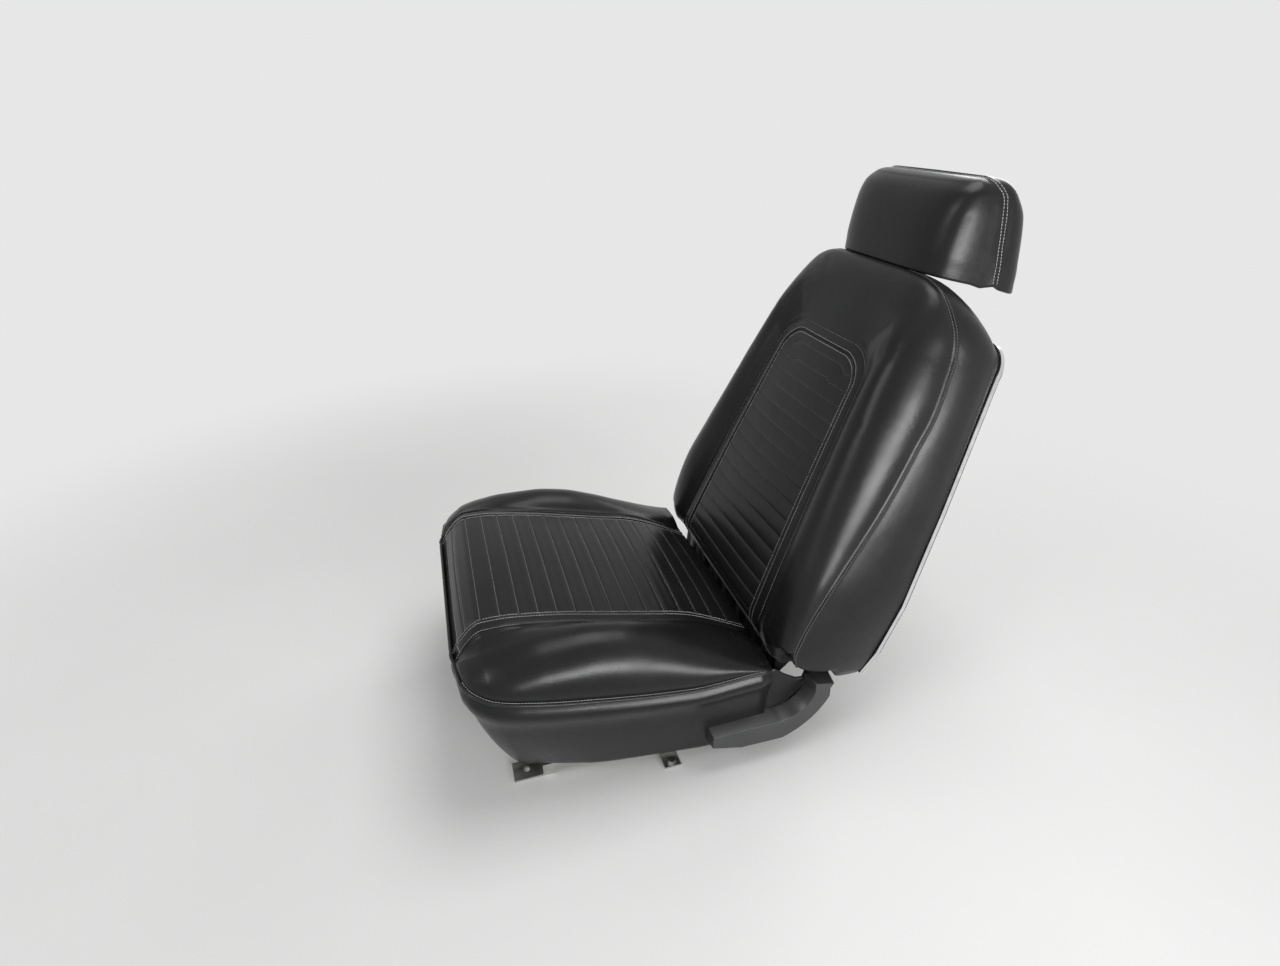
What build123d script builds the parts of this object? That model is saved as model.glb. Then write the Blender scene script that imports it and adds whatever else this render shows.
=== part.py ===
"""Front bucket seat of a two-door car, for the left-hand side.

X points to the sitter's left, -Y is the way the sitter faces and +Z is up. The origin is on
the floor, at the centre of the four floor bolts. All sizes are in millimetres and degrees.
"""

import os
from math import atan2, cos, degrees, radians, sin

from build123d import *

os.makedirs("parts", exist_ok=True)

# Floor fixing and slide rails, set in from the sides of the seat pan
PAN_HALF = 252.0
RAIL_INSET = 87.0
BOLT_SPAN_X = 2 * (PAN_HALF - RAIL_INSET)
BOLT_SPAN_Y = 380.0
BOLT_HOLE_R = 5.25
FOOT_LENGTH = 44.0
FOOT_SHEET = 3.0
RAIL_WIDTH = 36.0
RAIL_HEIGHT = 17.0
RAIL_SHEET = 2.5
RAIL_FLOOR_GAP = 7.0
RAIL_LIP = 8.0
RAIL_PLAY = 0.6
SLIDER_LENGTH = 300.0
RAIL_LENGTH = 330.0
SLIDER_STEM = 14.0
PLATE_FRONT_Y = -160.0
PLATE_REAR_Y = 176.0
PLATE_WIDTH = 22.0
TONGUE_FRONT_Y = -196.0
TONGUE_WIDTH = 14.0
TONGUE_INSET = 8.0
SIDE_TAB_Y = 42.0
SIDE_TAB_WIDTH = 28.0
SIDE_TAB_REACH = 64.0
SIDE_BOLT_X = 54.0
SIDE_BOLT_R = 4.0
SIDE_BOLT_HEAD_R = 7.5
SIDE_BOLT_HEAD = 5.5

# Seat pan plan and heights
PAN_FRONT_Y = -275.0
PAN_REAR_Y = 190.0
PAN_BASE_Z = 35.0
PAN_BASE_FRONT_Y = -212.0
BASE_FRONT_HALF = PAN_HALF - 76.0
BASE_CORNER_R = 34.0
SKIRT_WALL = 5.0
SKIRT_SIDE_Y = 10.0
SKIRT_MIDDLE_Z = 150.0
LIP_RISE = 16.0
FRAME_GAP = 1.0
FRAME_SHEET = 2.0
FRAME_HEIGHT = 46.0
FRAME_LIP = 22.0
FRAME_REAR_Y = PAN_REAR_Y - 10.0
PIPE_Z = 244.0
PIPE_Y = -230.0
PIPE_FALL = 0.155
PIPING_R = 4.2
PIPING_CORNER_R = 72.0
PIPING_OUT = 1.0
PIPING_REAR_IN = 3.0

# Zigzag springs across the frame, which carry the foam
SPRING_COUNT = 5
SPRING_SPACE = 60.0
SPRING_SWING = 16.0
SPRING_PITCH = 17.0
SPRING_WIRE = 3.6

# Pleated insert of the seat pan
PLEAT = 28.0
PLEAT_CROWN = 3.0
INSERT_THICK = 12.0
PAN_INSERT_HALF = 145.0
BORDER = 15.0
POCKET_REACH = 60.0
PAN_TOP_Z = 310.0
PAN_TOP_Y = -230.0
PAN_TOP_FALL = 0.094
PAN_TOP_SAG = 37.9
PAN_BEND_Y = 106.0
PAN_REAR_FALL = 0.52
PAN_LIP_Y = -254.0
PAN_LIP_Z = 292.0
PAN_FOOT_Y = PAN_FRONT_Y + 1.0
PAN_FOOT_Z = 262.0

# Backrest placing and thickness
BACK_HALF = 254.0
BACK_Y = 210.0
BACK_Z = 243.0
RECLINE = 20.3
BACK_REAR = 176.0
BACK_TOP = 548.0
BACK_FOOT = -62.0
SEAM_SHARE = 0.66
SHOULDER_DROP = 45.0
SHOULDER_FALL = 0.4
SHELL_THICK = 18.0
SHELL_LIP = 7.0
SHELL_TOP_T = 498.0
SHELL_TOP_HALF = BACK_HALF - 67.0
SHELL_FOOT_T = -47.0
TRIM_PROUD = 2.0
TRIM_WIDTH = 5.0
SHELL_CORNER_R = 42.0
FIELD_INSET = 38.0
FIELD_DEPTH = 2.5
SHELL_WALL = 4.0
SHELL_RIM = 12.0
BACK_INSERT_HALF = 149.0
BACK_INSERT_TAPER = 0.106
BACK_INSERT_TOP = 411.0
BACK_INSERT_CORNER_R = 34.0
BACK_INSERT_FOOT = -36.0
BACK_SAG = 11.8

HOLLOW_FOOT_HALF = 185.0
HOLLOW_FOOT_T = 25.0
HOLLOW_TOP_HALF = 150.0
HOLLOW_TOP_T = 350.0
HOLLOW_DEPTH = 104.0

# Flap that closes the view behind the seat pan
FLAP_LENGTH = 38.0
FLAP_N = 38.0
FLAP_ROOT = 38.0
FLAP_SLANT = 8.0
FLAP_EDGE = 14.0
FLAP_SIDE_GAP = 12.0

# Hinges of the backrest
PIVOT_Y = 280.0
PIVOT_Z = 224.0
PIVOT_PIN_R = 5.0
PIVOT_FIT = 0.05
PIN_TAIL = 3.0
FOLD = 48.0
ARM_THICK = 5.0
ARM_TOP_R = 13.0
ARM_GAP = 5.0
ARM_FRONT_Y = 100.0
ARM_FOOT_Z = 52.0
ARM_FOOT_HEIGHT = 34.0
ARM_BEND_Y = 205.0
ARM_BEND_RISE = 98.0
ARM_OUTER_BEND = (0.72, 0.30)
ARM_INNER_BEND = (0.70, 0.35)
BRACKET_THICK = 3.0
BRACKET_R = 16.0
BRACKET_REACH = 60.0

# Moulded cover of the outer hinge arm
COVER_INNER_X = PAN_HALF - 16.0
COVER_OUT = 26.0
COVER_WALL = 2.5
COVER_TOP_BEVEL = 8.0
COVER_EDGE_BEVEL = 3.0
COVER_FRONT_Y = 92.0
COVER_TOP_Z = 95.0
COVER_LOW_Z = 44.0
COVER_END_Z = 155.0
COVER_END_FRONT_Y = 260.0
COVER_END_REAR_Y = 303.0
COVER_END_SLANT = 7.0
COVER_TOE = 54.0
COVER_TOE_RISE = 17.0
COVER_HEEL_Y = 218.0
COVER_HEEL = (264.0, 68.0)
COVER_NECK_Z = 119.0
COVER_INSTEP_Y = 204.0
COVER_INSTEP = (244.0, 108.0)
COVER_CLEAR = 5.4
TAB_THICK = 4.0
TAB_GAP = 0.6
TAB_LOW_Z = 62.0
# Upper edge of the tab behind the skirt: angle forward of straight down from the pivot, and distance from it
TAB_EDGE = ((12.0, 80.5), (22.0, 83.0), (40.0, 83.0), (50.0, 84.5), (60.0, 90.0))

# Latches and levers
ROD_Y = -110.0
ROD_Z = 34.0
ROD_R = 4.0
LEVER_X = BOLT_SPAN_X / 2 - 45.0
LEVER_FRONT_Y = -190.0
LEVER_Z = 24.0
KNOB_R = 7.0
KNOB_LENGTH = 22.0
KNOB_GRIP = 8.0
KNOB_X = -128.0
KNOB_T = 514.0
KNOB_SEAT_N = 164.0
BEZEL_R = 15.0
BEZEL_THICK = 7.0
KNOB_STEM_R = 5.0
KNOB_OUT = 7.0
KNOB_HEAD_R = 10.0
KNOB_HEAD = 9.0

# Headrest
HEADREST_HALF = 128.0
HEADREST_Y = 515.0
HEADREST_TOP_Z = 870.0
HEADREST_HEIGHT = 140.5
HEADREST_TILT = 0.22
BAR_FOOT_T = 372.0
STOP_COUNT = 4
STOP_FIRST = 50.0
STOP_R = 4.0
BAR_WIDTH = 30.0
BAR_THICK = 6.0
BAR_N = 100.0
BAR_FIT = 0.4
BAR_LENGTH = 215.0
LIFT = 65.0

# Frames of reference
BACK = Plane(
    origin=(0, BACK_Y, BACK_Z), x_dir=(1, 0, 0), z_dir=(0, -cos(radians(RECLINE)), sin(radians(RECLINE)))
)
BACK_SIDE = Plane(origin=BACK.origin, x_dir=BACK.y_dir, z_dir=(1, 0, 0))
SIDE = Plane.YZ
SIDES = (("left", 1), ("right", -1))


def pan_top(y):
    """Height of the insert's seam level over the seat pan."""
    if y < PAN_LIP_Y:
        share = (y - PAN_FOOT_Y) / (PAN_LIP_Y - PAN_FOOT_Y)
        return PAN_FOOT_Z + share * (PAN_LIP_Z - PAN_FOOT_Z)
    if y < PAN_TOP_Y:
        share = (y - PAN_LIP_Y) / (PAN_TOP_Y - PAN_LIP_Y)
        return PAN_LIP_Z + share * (PAN_TOP_Z - PAN_LIP_Z)
    run = min(y, PAN_BEND_Y) - PAN_TOP_Y
    arch = PAN_TOP_Z - PAN_TOP_FALL * run - PAN_TOP_SAG * (run / (PAN_BEND_Y - PAN_TOP_Y)) ** 2
    return arch - PAN_REAR_FALL * max(0.0, y - PAN_BEND_Y)


def back_front(t):
    """Forward offset of the backrest insert's seam level at a distance t up the back."""
    return -BACK_SAG * t * abs(t) / BACK_INSERT_TOP**2


def channel_section(half, seam_half, centre, crown, shoulder, base):
    """Lines of a cross-section with a level middle between two crowned bolsters."""
    crown_x = (seam_half + half) / 2
    Line((-seam_half, centre), (seam_half, centre))
    ThreePointArc((seam_half, centre), (crown_x, crown), (half, shoulder))
    Line((half, shoulder), (half, base))
    Line((half, base), (-half, base))
    Line((-half, base), (-half, shoulder))
    ThreePointArc((-half, shoulder), (-crown_x, crown), (-seam_half, centre))


def pleats(points, crown):
    """Arcs of one pleat each along a row of seam points, bulging to the left of the run."""
    for start, end in zip(points, points[1:]):
        chord = Vector(end[0] - start[0], end[1] - start[1])
        middle = Vector((start[0] + end[0]) / 2, (start[1] + end[1]) / 2)
        out = Vector(-chord.Y, chord.X).normalized() * crown
        ThreePointArc(start, (middle.X + out.X, middle.Y + out.Y), end)


# Piping plane, which parts the padded top of the seat pan from its skirt
PIPE_PLANE = Plane(origin=(0, PIPE_Y, PIPE_Z), x_dir=(1, 0, 0), z_dir=(0, PIPE_FALL, 1))


def pipe_z(y):
    """Height of the piping plane."""
    return PIPE_Z - PIPE_FALL * (y - PIPE_Y)


# Seat pan sections: place along Y, half width, height of the bolster's crown
PAN_SECTIONS = (
    (PAN_FRONT_Y, PAN_HALF - 76.0, PAN_TOP_Z - 46.0),
    (PAN_FRONT_Y + 9.0, PAN_HALF - 38.0, PAN_TOP_Z - 36.0),
    (PAN_FRONT_Y + 29.0, PAN_HALF - 12.0, PAN_TOP_Z - 22.0),
    (PAN_FRONT_Y + 59.0, PAN_HALF - 2.0, PAN_TOP_Z - 11.0),
    (PAN_FRONT_Y + 120.0, PAN_HALF, PAN_TOP_Z - 3.0),
    (PAN_FRONT_Y + 185.0, PAN_HALF, PAN_TOP_Z - 4.0),
    (PAN_FRONT_Y + 254.0, PAN_HALF, PAN_TOP_Z - 17.0),
    (PAN_FRONT_Y + 325.0, PAN_HALF, PAN_TOP_Z - 44.0),
    (PAN_BEND_Y, PAN_HALF - 2.0, PAN_TOP_Z - 67.0),
    (PAN_REAR_Y, PAN_HALF - 6.0, PAN_TOP_Z - 113.0),
)
SEAM_HALF = PAN_INSERT_HALF + BORDER
WIDE_HALF = PAN_HALF - 12.0
SHOULDER_SHARE = 0.3

insert_points = [(PAN_FOOT_Y, PAN_FOOT_Z), (PAN_LIP_Y, PAN_LIP_Z)]
pleat_y = PAN_TOP_Y
while pleat_y < PAN_REAR_Y - PLEAT / 3:
    insert_points.append((pleat_y, pan_top(pleat_y)))
    pleat_y += PLEAT
insert_points.append((PAN_REAR_Y, pan_top(PAN_REAR_Y)))

mid_y = (PAN_TOP_Y + PAN_BEND_Y) / 2
insert_underside = (
    (PAN_TOP_Y + 2, PAN_TOP_Z - INSERT_THICK),
    (mid_y, pan_top(mid_y) - INSERT_THICK),
    (PAN_BEND_Y - 2, pan_top(PAN_BEND_Y) - INSERT_THICK),
)
INSERT_SLANT = INSERT_THICK * cos(radians(45))
lip_under = (PAN_LIP_Y + INSERT_SLANT, PAN_LIP_Z - INSERT_SLANT)
foot_under = (PAN_FOOT_Y + INSERT_THICK, PAN_FOOT_Z - PIPING_R)
rear_under = (PAN_REAR_Y, pan_top(PAN_REAR_Y) - INSERT_THICK)

with BuildPart() as seat_insert:
    with BuildSketch(SIDE):
        with BuildLine():
            pleats(insert_points, PLEAT_CROWN)
            Line(insert_points[-1], rear_under)
            Line(rear_under, insert_underside[2])
            ThreePointArc(insert_underside[2], insert_underside[1], insert_underside[0])
            Polyline(insert_underside[0], lip_under, foot_under, insert_points[0])
        make_face()
    extrude(amount=PAN_INSERT_HALF, both=True)
seat_insert.part.label = "seat_insert"
export_step(seat_insert.part, "parts/seat_insert.step")


# inset of a quarter circle's middle from its corner, as a share of the radius
CORNER_IN = 1 - cos(radians(45))


def plan_outline(front_y, front_half, corner, side_y, side_half, rear_y, rear_half):
    """Lines of a plan with a straight front, round front corners and straight sides."""
    bend_x = front_half - CORNER_IN * corner
    bend_y = front_y + CORNER_IN * corner
    Line((-(front_half - corner), front_y), (front_half - corner, front_y))
    ThreePointArc((front_half - corner, front_y), (bend_x, bend_y), (front_half, front_y + corner))
    Line((front_half, front_y + corner), (side_half, side_y))
    Line((side_half, side_y), (rear_half, rear_y))
    Line((rear_half, rear_y), (-rear_half, rear_y))
    Line((-rear_half, rear_y), (-side_half, side_y))
    Line((-side_half, side_y), (-front_half, front_y + corner))
    ThreePointArc((-front_half, front_y + corner), (-bend_x, bend_y), (-(front_half - corner), front_y))


# Skirt sections: height, front Y, half width behind the corner, corner, half width at the side, at the rear
SKIRT_SECTIONS = (
    (PAN_BASE_Z, PAN_BASE_FRONT_Y, BASE_FRONT_HALF, BASE_CORNER_R, PAN_HALF - 25.0, PAN_HALF - 17.0),
    (SKIRT_MIDDLE_Z, PAN_FRONT_Y + 23.0, PAN_HALF - 26.0, 56.0, PAN_HALF - 4.0, PAN_HALF - 8.0),
    (PIPE_Z + LIP_RISE, PAN_FRONT_Y, PAN_HALF - 4.0, 70.0, PAN_HALF, PAN_HALF - 4.0),
)

# Pressed frame inside the skirt: its base level, and its half width inside the skirt's wall there
FRAME_Z = PAN_BASE_Z + SKIRT_WALL + 4.0
SPRING_DECK_Z = FRAME_Z + FRAME_HEIGHT + SPRING_WIRE
frame_share = (FRAME_Z - PAN_BASE_Z) / (SKIRT_MIDDLE_Z - PAN_BASE_Z)
skirt_half_there = SKIRT_SECTIONS[0][4] + frame_share * (SKIRT_SECTIONS[1][4] - SKIRT_SECTIONS[0][4])
PAN_FRAME_HALF = skirt_half_there - SKIRT_WALL - FRAME_GAP

with BuildPart() as seat_piping:
    with BuildLine(PIPE_PLANE) as piping_path:
        FilletPolyline(
            (PAN_HALF - PIPING_REAR_IN, PAN_REAR_Y - PIPE_Y),
            (PAN_HALF - PIPING_OUT, PAN_FRONT_Y - PIPE_Y - PIPING_OUT),
            (PIPING_OUT - PAN_HALF, PAN_FRONT_Y - PIPE_Y - PIPING_OUT),
            (PIPING_REAR_IN - PAN_HALF, PAN_REAR_Y - PIPE_Y),
            radius=PIPING_CORNER_R,
        )
    with BuildSketch(Plane(origin=piping_path.line @ 0, z_dir=piping_path.line % 0)):
        Circle(PIPING_R)
    sweep()
seat_piping.part.label = "seat_piping"
export_step(seat_piping.part, "parts/seat_piping.step")

# Foam block inside the skirt, resting on the springs
foam_half = PAN_FRAME_HALF + FRAME_GAP
foam_front_half = BASE_FRONT_HALF - BORDER
foam_front_y = PAN_BASE_FRONT_Y + SKIRT_WALL
foam_rear_y = FRAME_REAR_Y - SKIRT_WALL

with BuildPart() as foam_block:
    with BuildSketch(Plane.XY.offset(SPRING_DECK_Z)):
        with BuildLine():
            Polyline(
                (-foam_front_half, foam_front_y),
                (foam_front_half, foam_front_y),
                (foam_half, SKIRT_SIDE_Y),
                (foam_half, foam_rear_y),
                (-foam_half, foam_rear_y),
                (-foam_half, SKIRT_SIDE_Y),
                close=True,
            )
        make_face()
    extrude(amount=PIPE_Z + LIP_RISE - SPRING_DECK_Z)
    split(bisect_by=PIPE_PLANE, keep=Keep.BOTTOM)

with BuildPart() as seat_cushion:
    for y, half, crown in PAN_SECTIONS:
        centre = pan_top(y)
        seam_half = SEAM_HALF * min(1.0, half / WIDE_HALF)
        shoulder = pipe_z(y) + SHOULDER_SHARE * (min(centre, crown) - pipe_z(y))
        with BuildSketch(Plane.XZ.offset(-y)):
            with BuildLine():
                channel_section(half, seam_half, centre, crown, shoulder, PAN_BASE_Z + 100)
            make_face()
    loft(ruled=True)
    split(bisect_by=PIPE_PLANE, keep=Keep.TOP)
    add(foam_block.part)
    # pocket for the insert
    with BuildSketch(SIDE):
        with BuildLine():
            Polyline(
                insert_underside[0],
                lip_under,
                foot_under,
                (2 * PAN_FOOT_Y - foot_under[0], 2 * PAN_FOOT_Z - foot_under[1]),
                (2 * PAN_FOOT_Y - foot_under[0], PAN_TOP_Z + POCKET_REACH),
                (PAN_REAR_Y + POCKET_REACH, PAN_TOP_Z + POCKET_REACH),
                (PAN_REAR_Y + POCKET_REACH, rear_under[1] - POCKET_REACH * PAN_REAR_FALL),
                insert_underside[2],
            )
            ThreePointArc(insert_underside[2], insert_underside[1], insert_underside[0])
        make_face()
    extrude(amount=PAN_INSERT_HALF, both=True, mode=Mode.SUBTRACT)
    add(seat_piping.part, mode=Mode.SUBTRACT)
seat_cushion.part.label = "seat_cushion"
export_step(seat_cushion.part, "parts/seat_cushion.step")


def arm_outline(grow=0.0):
    """Side outline of a hinge arm: a long foot that curves up to a round pivot eye."""
    foot_low = ARM_FOOT_Z - grow
    foot_high = ARM_FOOT_Z + ARM_FOOT_HEIGHT + grow
    bend_top = ARM_FOOT_Z + ARM_BEND_RISE
    front = ARM_FRONT_Y - grow
    eye_front = PIVOT_Y - ARM_TOP_R - grow
    eye_rear = PIVOT_Y + ARM_TOP_R + grow
    run, rise = ARM_OUTER_BEND
    outer_bend = (ARM_BEND_Y + run * (eye_rear - ARM_BEND_Y), foot_low + rise * (bend_top - foot_low))
    run, rise = ARM_INNER_BEND
    inner_bend = (ARM_BEND_Y + run * (eye_front - ARM_BEND_Y), foot_high + rise * (bend_top - foot_high))
    Line((front, foot_low), (ARM_BEND_Y, foot_low))
    ThreePointArc((ARM_BEND_Y, foot_low), outer_bend, (eye_rear, bend_top))
    Line((eye_rear, bend_top), (eye_rear, PIVOT_Z))
    ThreePointArc((eye_rear, PIVOT_Z), (PIVOT_Y, PIVOT_Z + ARM_TOP_R + grow), (eye_front, PIVOT_Z))
    Line((eye_front, PIVOT_Z), (eye_front, bend_top))
    ThreePointArc((eye_front, bend_top), inner_bend, (ARM_BEND_Y, foot_high))
    Line((ARM_BEND_Y, foot_high), (front, foot_high))
    Line((front, foot_high), (front, foot_low))


def skirt_loft_plan(z_row, inset):
    """Plan of one skirt section, drawn in by an inset."""
    z, front_y, front_half, corner, side_half, rear_half = z_row
    plan_outline(
        front_y + inset,
        front_half - inset,
        corner - inset / 2,
        SKIRT_SIDE_Y,
        side_half - inset,
        PAN_REAR_Y - inset,
        rear_half - inset,
    )


with BuildPart() as skirt_solid:
    for section in SKIRT_SECTIONS:
        with BuildSketch(Plane.XY.offset(section[0])):
            with BuildLine():
                skirt_loft_plan(section, 0)
            make_face()
    loft(ruled=True)

with BuildPart() as skirt_inside:
    for section in SKIRT_SECTIONS:
        with BuildSketch(Plane.XY.offset(section[0])):
            with BuildLine():
                skirt_loft_plan(section, SKIRT_WALL)
            make_face()
    loft(ruled=True)

def pivot_ray(angle, length):
    """Point in the side view at a distance from the pivot, at an angle forward of straight down."""
    return (PIVOT_Y - length * sin(radians(angle)), PIVOT_Z - length * cos(radians(angle)))


with BuildPart() as seat_skirt:
    add(skirt_solid.part)
    add(skirt_inside.part, mode=Mode.SUBTRACT)
    split(bisect_by=PIPE_PLANE, keep=Keep.BOTTOM)
    # tab at the outer rear corner, which closes the space between the skirt and the hinge cover
    tab_edge = [pivot_ray(angle, length) for angle, length in TAB_EDGE]
    tab_root_y = PAN_REAR_Y - SKIRT_WALL + 1
    tab_root_z = tab_edge[-1][1] - 17
    with BuildSketch(Plane.YZ.offset(COVER_INNER_X - TAB_GAP - TAB_THICK)):
        with BuildLine():
            Polyline(
                *tab_edge,
                (PAN_REAR_Y + 2, tab_edge[-1][1] - 5),
                (tab_root_y, tab_root_z),
                (tab_root_y, TAB_LOW_Z),
                (COVER_INSTEP_Y + 20, COVER_TOP_Z - 3),
                (COVER_INSTEP[0] + 12, COVER_INSTEP[1] + 16),
                (tab_edge[0][0], tab_edge[0][1] - 6),
                close=True,
            )
        make_face()
    extrude(amount=TAB_THICK)
    add(seat_piping.part, mode=Mode.SUBTRACT)
    # slots in the rear wall for the hinge arms
    for side, sign in SIDES:
        with BuildSketch(Plane.YZ.offset(sign * (PAN_FRAME_HALF - 1))):
            with BuildLine():
                arm_outline(1.0)
            make_face()
        extrude(amount=sign * (ARM_THICK + 2), mode=Mode.SUBTRACT)
seat_skirt.part.label = "seat_skirt"
export_step(seat_skirt.part, "parts/seat_skirt.step")



def frame_plan(inset):
    """Plan of the pressed frame round the seat pan, drawn in from its outer face."""
    plan_outline(
        PAN_BASE_FRONT_Y + SKIRT_WALL + FRAME_GAP + inset,
        BASE_FRONT_HALF - SKIRT_WALL - FRAME_GAP - inset,
        BASE_CORNER_R - SKIRT_WALL,
        SKIRT_SIDE_Y,
        PAN_FRAME_HALF - inset,
        FRAME_REAR_Y - inset,
        PAN_FRAME_HALF - inset,
    )


with BuildPart() as seat_frame:
    with BuildSketch(Plane.XY.offset(FRAME_Z)):
        with BuildLine():
            frame_plan(0)
        make_face()
    extrude(amount=FRAME_HEIGHT)
    with BuildSketch(Plane.XY.offset(FRAME_Z)):
        with BuildLine():
            frame_plan(FRAME_LIP)
        make_face()
    extrude(amount=FRAME_HEIGHT, mode=Mode.SUBTRACT)
    with BuildSketch(Plane.XY.offset(FRAME_Z + FRAME_SHEET)):
        with BuildLine():
            frame_plan(FRAME_SHEET)
        make_face()
    extrude(amount=FRAME_HEIGHT - 2 * FRAME_SHEET, mode=Mode.SUBTRACT)
seat_frame.part.label = "seat_frame"
export_step(seat_frame.part, "parts/seat_frame.step")

# Springs run fore and aft in zigzags and rest on the frame's upper lip
spring_start = PAN_BASE_FRONT_Y + SKIRT_WALL + FRAME_GAP + FRAME_LIP / 2
spring_bends = int((FRAME_REAR_Y - FRAME_LIP / 2 - spring_start) / SPRING_PITCH)
with BuildPart() as seat_springs:
    with BuildSketch(Plane.XY.offset(FRAME_Z + FRAME_HEIGHT)):
        for number in range(SPRING_COUNT):
            spring_x = (number - (SPRING_COUNT - 1) / 2) * SPRING_SPACE
            zigzag = [
                (spring_x + SPRING_SWING * (-1) ** bend, spring_start + bend * SPRING_PITCH)
                for bend in range(spring_bends + 1)
            ]
            with BuildLine():
                Polyline(*zigzag)
            trace(line_width=SPRING_WIRE)
    extrude(amount=SPRING_WIRE)
seat_springs.part.label = "seat_springs"
export_step(seat_springs.part, "parts/seat_springs.step")


def cover_outline(edge, top):
    """Side outline of the cover over a hinge arm's foot, drawn in at its edge and along its top."""
    front = COVER_FRONT_Y + edge
    low = COVER_LOW_Z + edge
    high = COVER_TOP_Z - top
    rear = COVER_END_REAR_Y - edge
    inner = COVER_END_FRONT_Y + top
    end_rear = COVER_END_Z - COVER_END_SLANT - edge
    end_front = COVER_END_Z - edge
    sole_y = COVER_FRONT_Y + COVER_TOE
    toe = (front, low + COVER_TOE_RISE)
    neck = (rear - 4, COVER_NECK_Z)
    heel_bend = (COVER_HEEL[0] - edge, COVER_HEEL[1] + edge)
    instep = (inner, COVER_NECK_Z + COVER_TOE_RISE)
    instep_bend = (COVER_INSTEP[0] + top * cos(radians(45)), COVER_INSTEP[1] - top * cos(radians(45)))
    Line(toe, (sole_y, low + 2))
    Line((sole_y, low + 2), (COVER_HEEL_Y, low))
    ThreePointArc((COVER_HEEL_Y, low), heel_bend, neck)
    Line(neck, (rear - 5, COVER_NECK_Z + COVER_TOE_RISE))
    Line((rear - 5, COVER_NECK_Z + COVER_TOE_RISE), (rear, end_rear))
    Line((rear, end_rear), (inner - 1, end_front))
    Line((inner - 1, end_front), instep)
    ThreePointArc(instep, instep_bend, (COVER_INSTEP_Y, high))
    Line((COVER_INSTEP_Y, high), (front, high))
    Line((front, high), toe)


# The outer, left-hand arm has a moulded cover; the inner one is bare
with BuildPart() as hinge_cover:
    with BuildSketch(Plane.YZ.offset(COVER_INNER_X)):
        with BuildLine():
            cover_outline(0, 0)
        make_face()
    with BuildSketch(Plane.YZ.offset(COVER_INNER_X + COVER_OUT)):
        with BuildLine():
            cover_outline(COVER_EDGE_BEVEL, COVER_TOP_BEVEL)
        make_face()
    loft(ruled=True)
    with BuildSketch(Plane.YZ.offset(COVER_INNER_X)):
        with BuildLine():
            cover_outline(COVER_WALL, COVER_WALL)
        make_face()
    with BuildSketch(Plane.YZ.offset(COVER_INNER_X + COVER_OUT - COVER_WALL)):
        with BuildLine():
            cover_outline(COVER_WALL + COVER_EDGE_BEVEL, COVER_WALL + COVER_TOP_BEVEL)
        make_face()
    loft(ruled=True, mode=Mode.SUBTRACT)
    add(skirt_solid.part, mode=Mode.SUBTRACT)
hinge_cover.part.label = "hinge_cover"
export_step(hinge_cover.part, "parts/hinge_cover.step")

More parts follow.
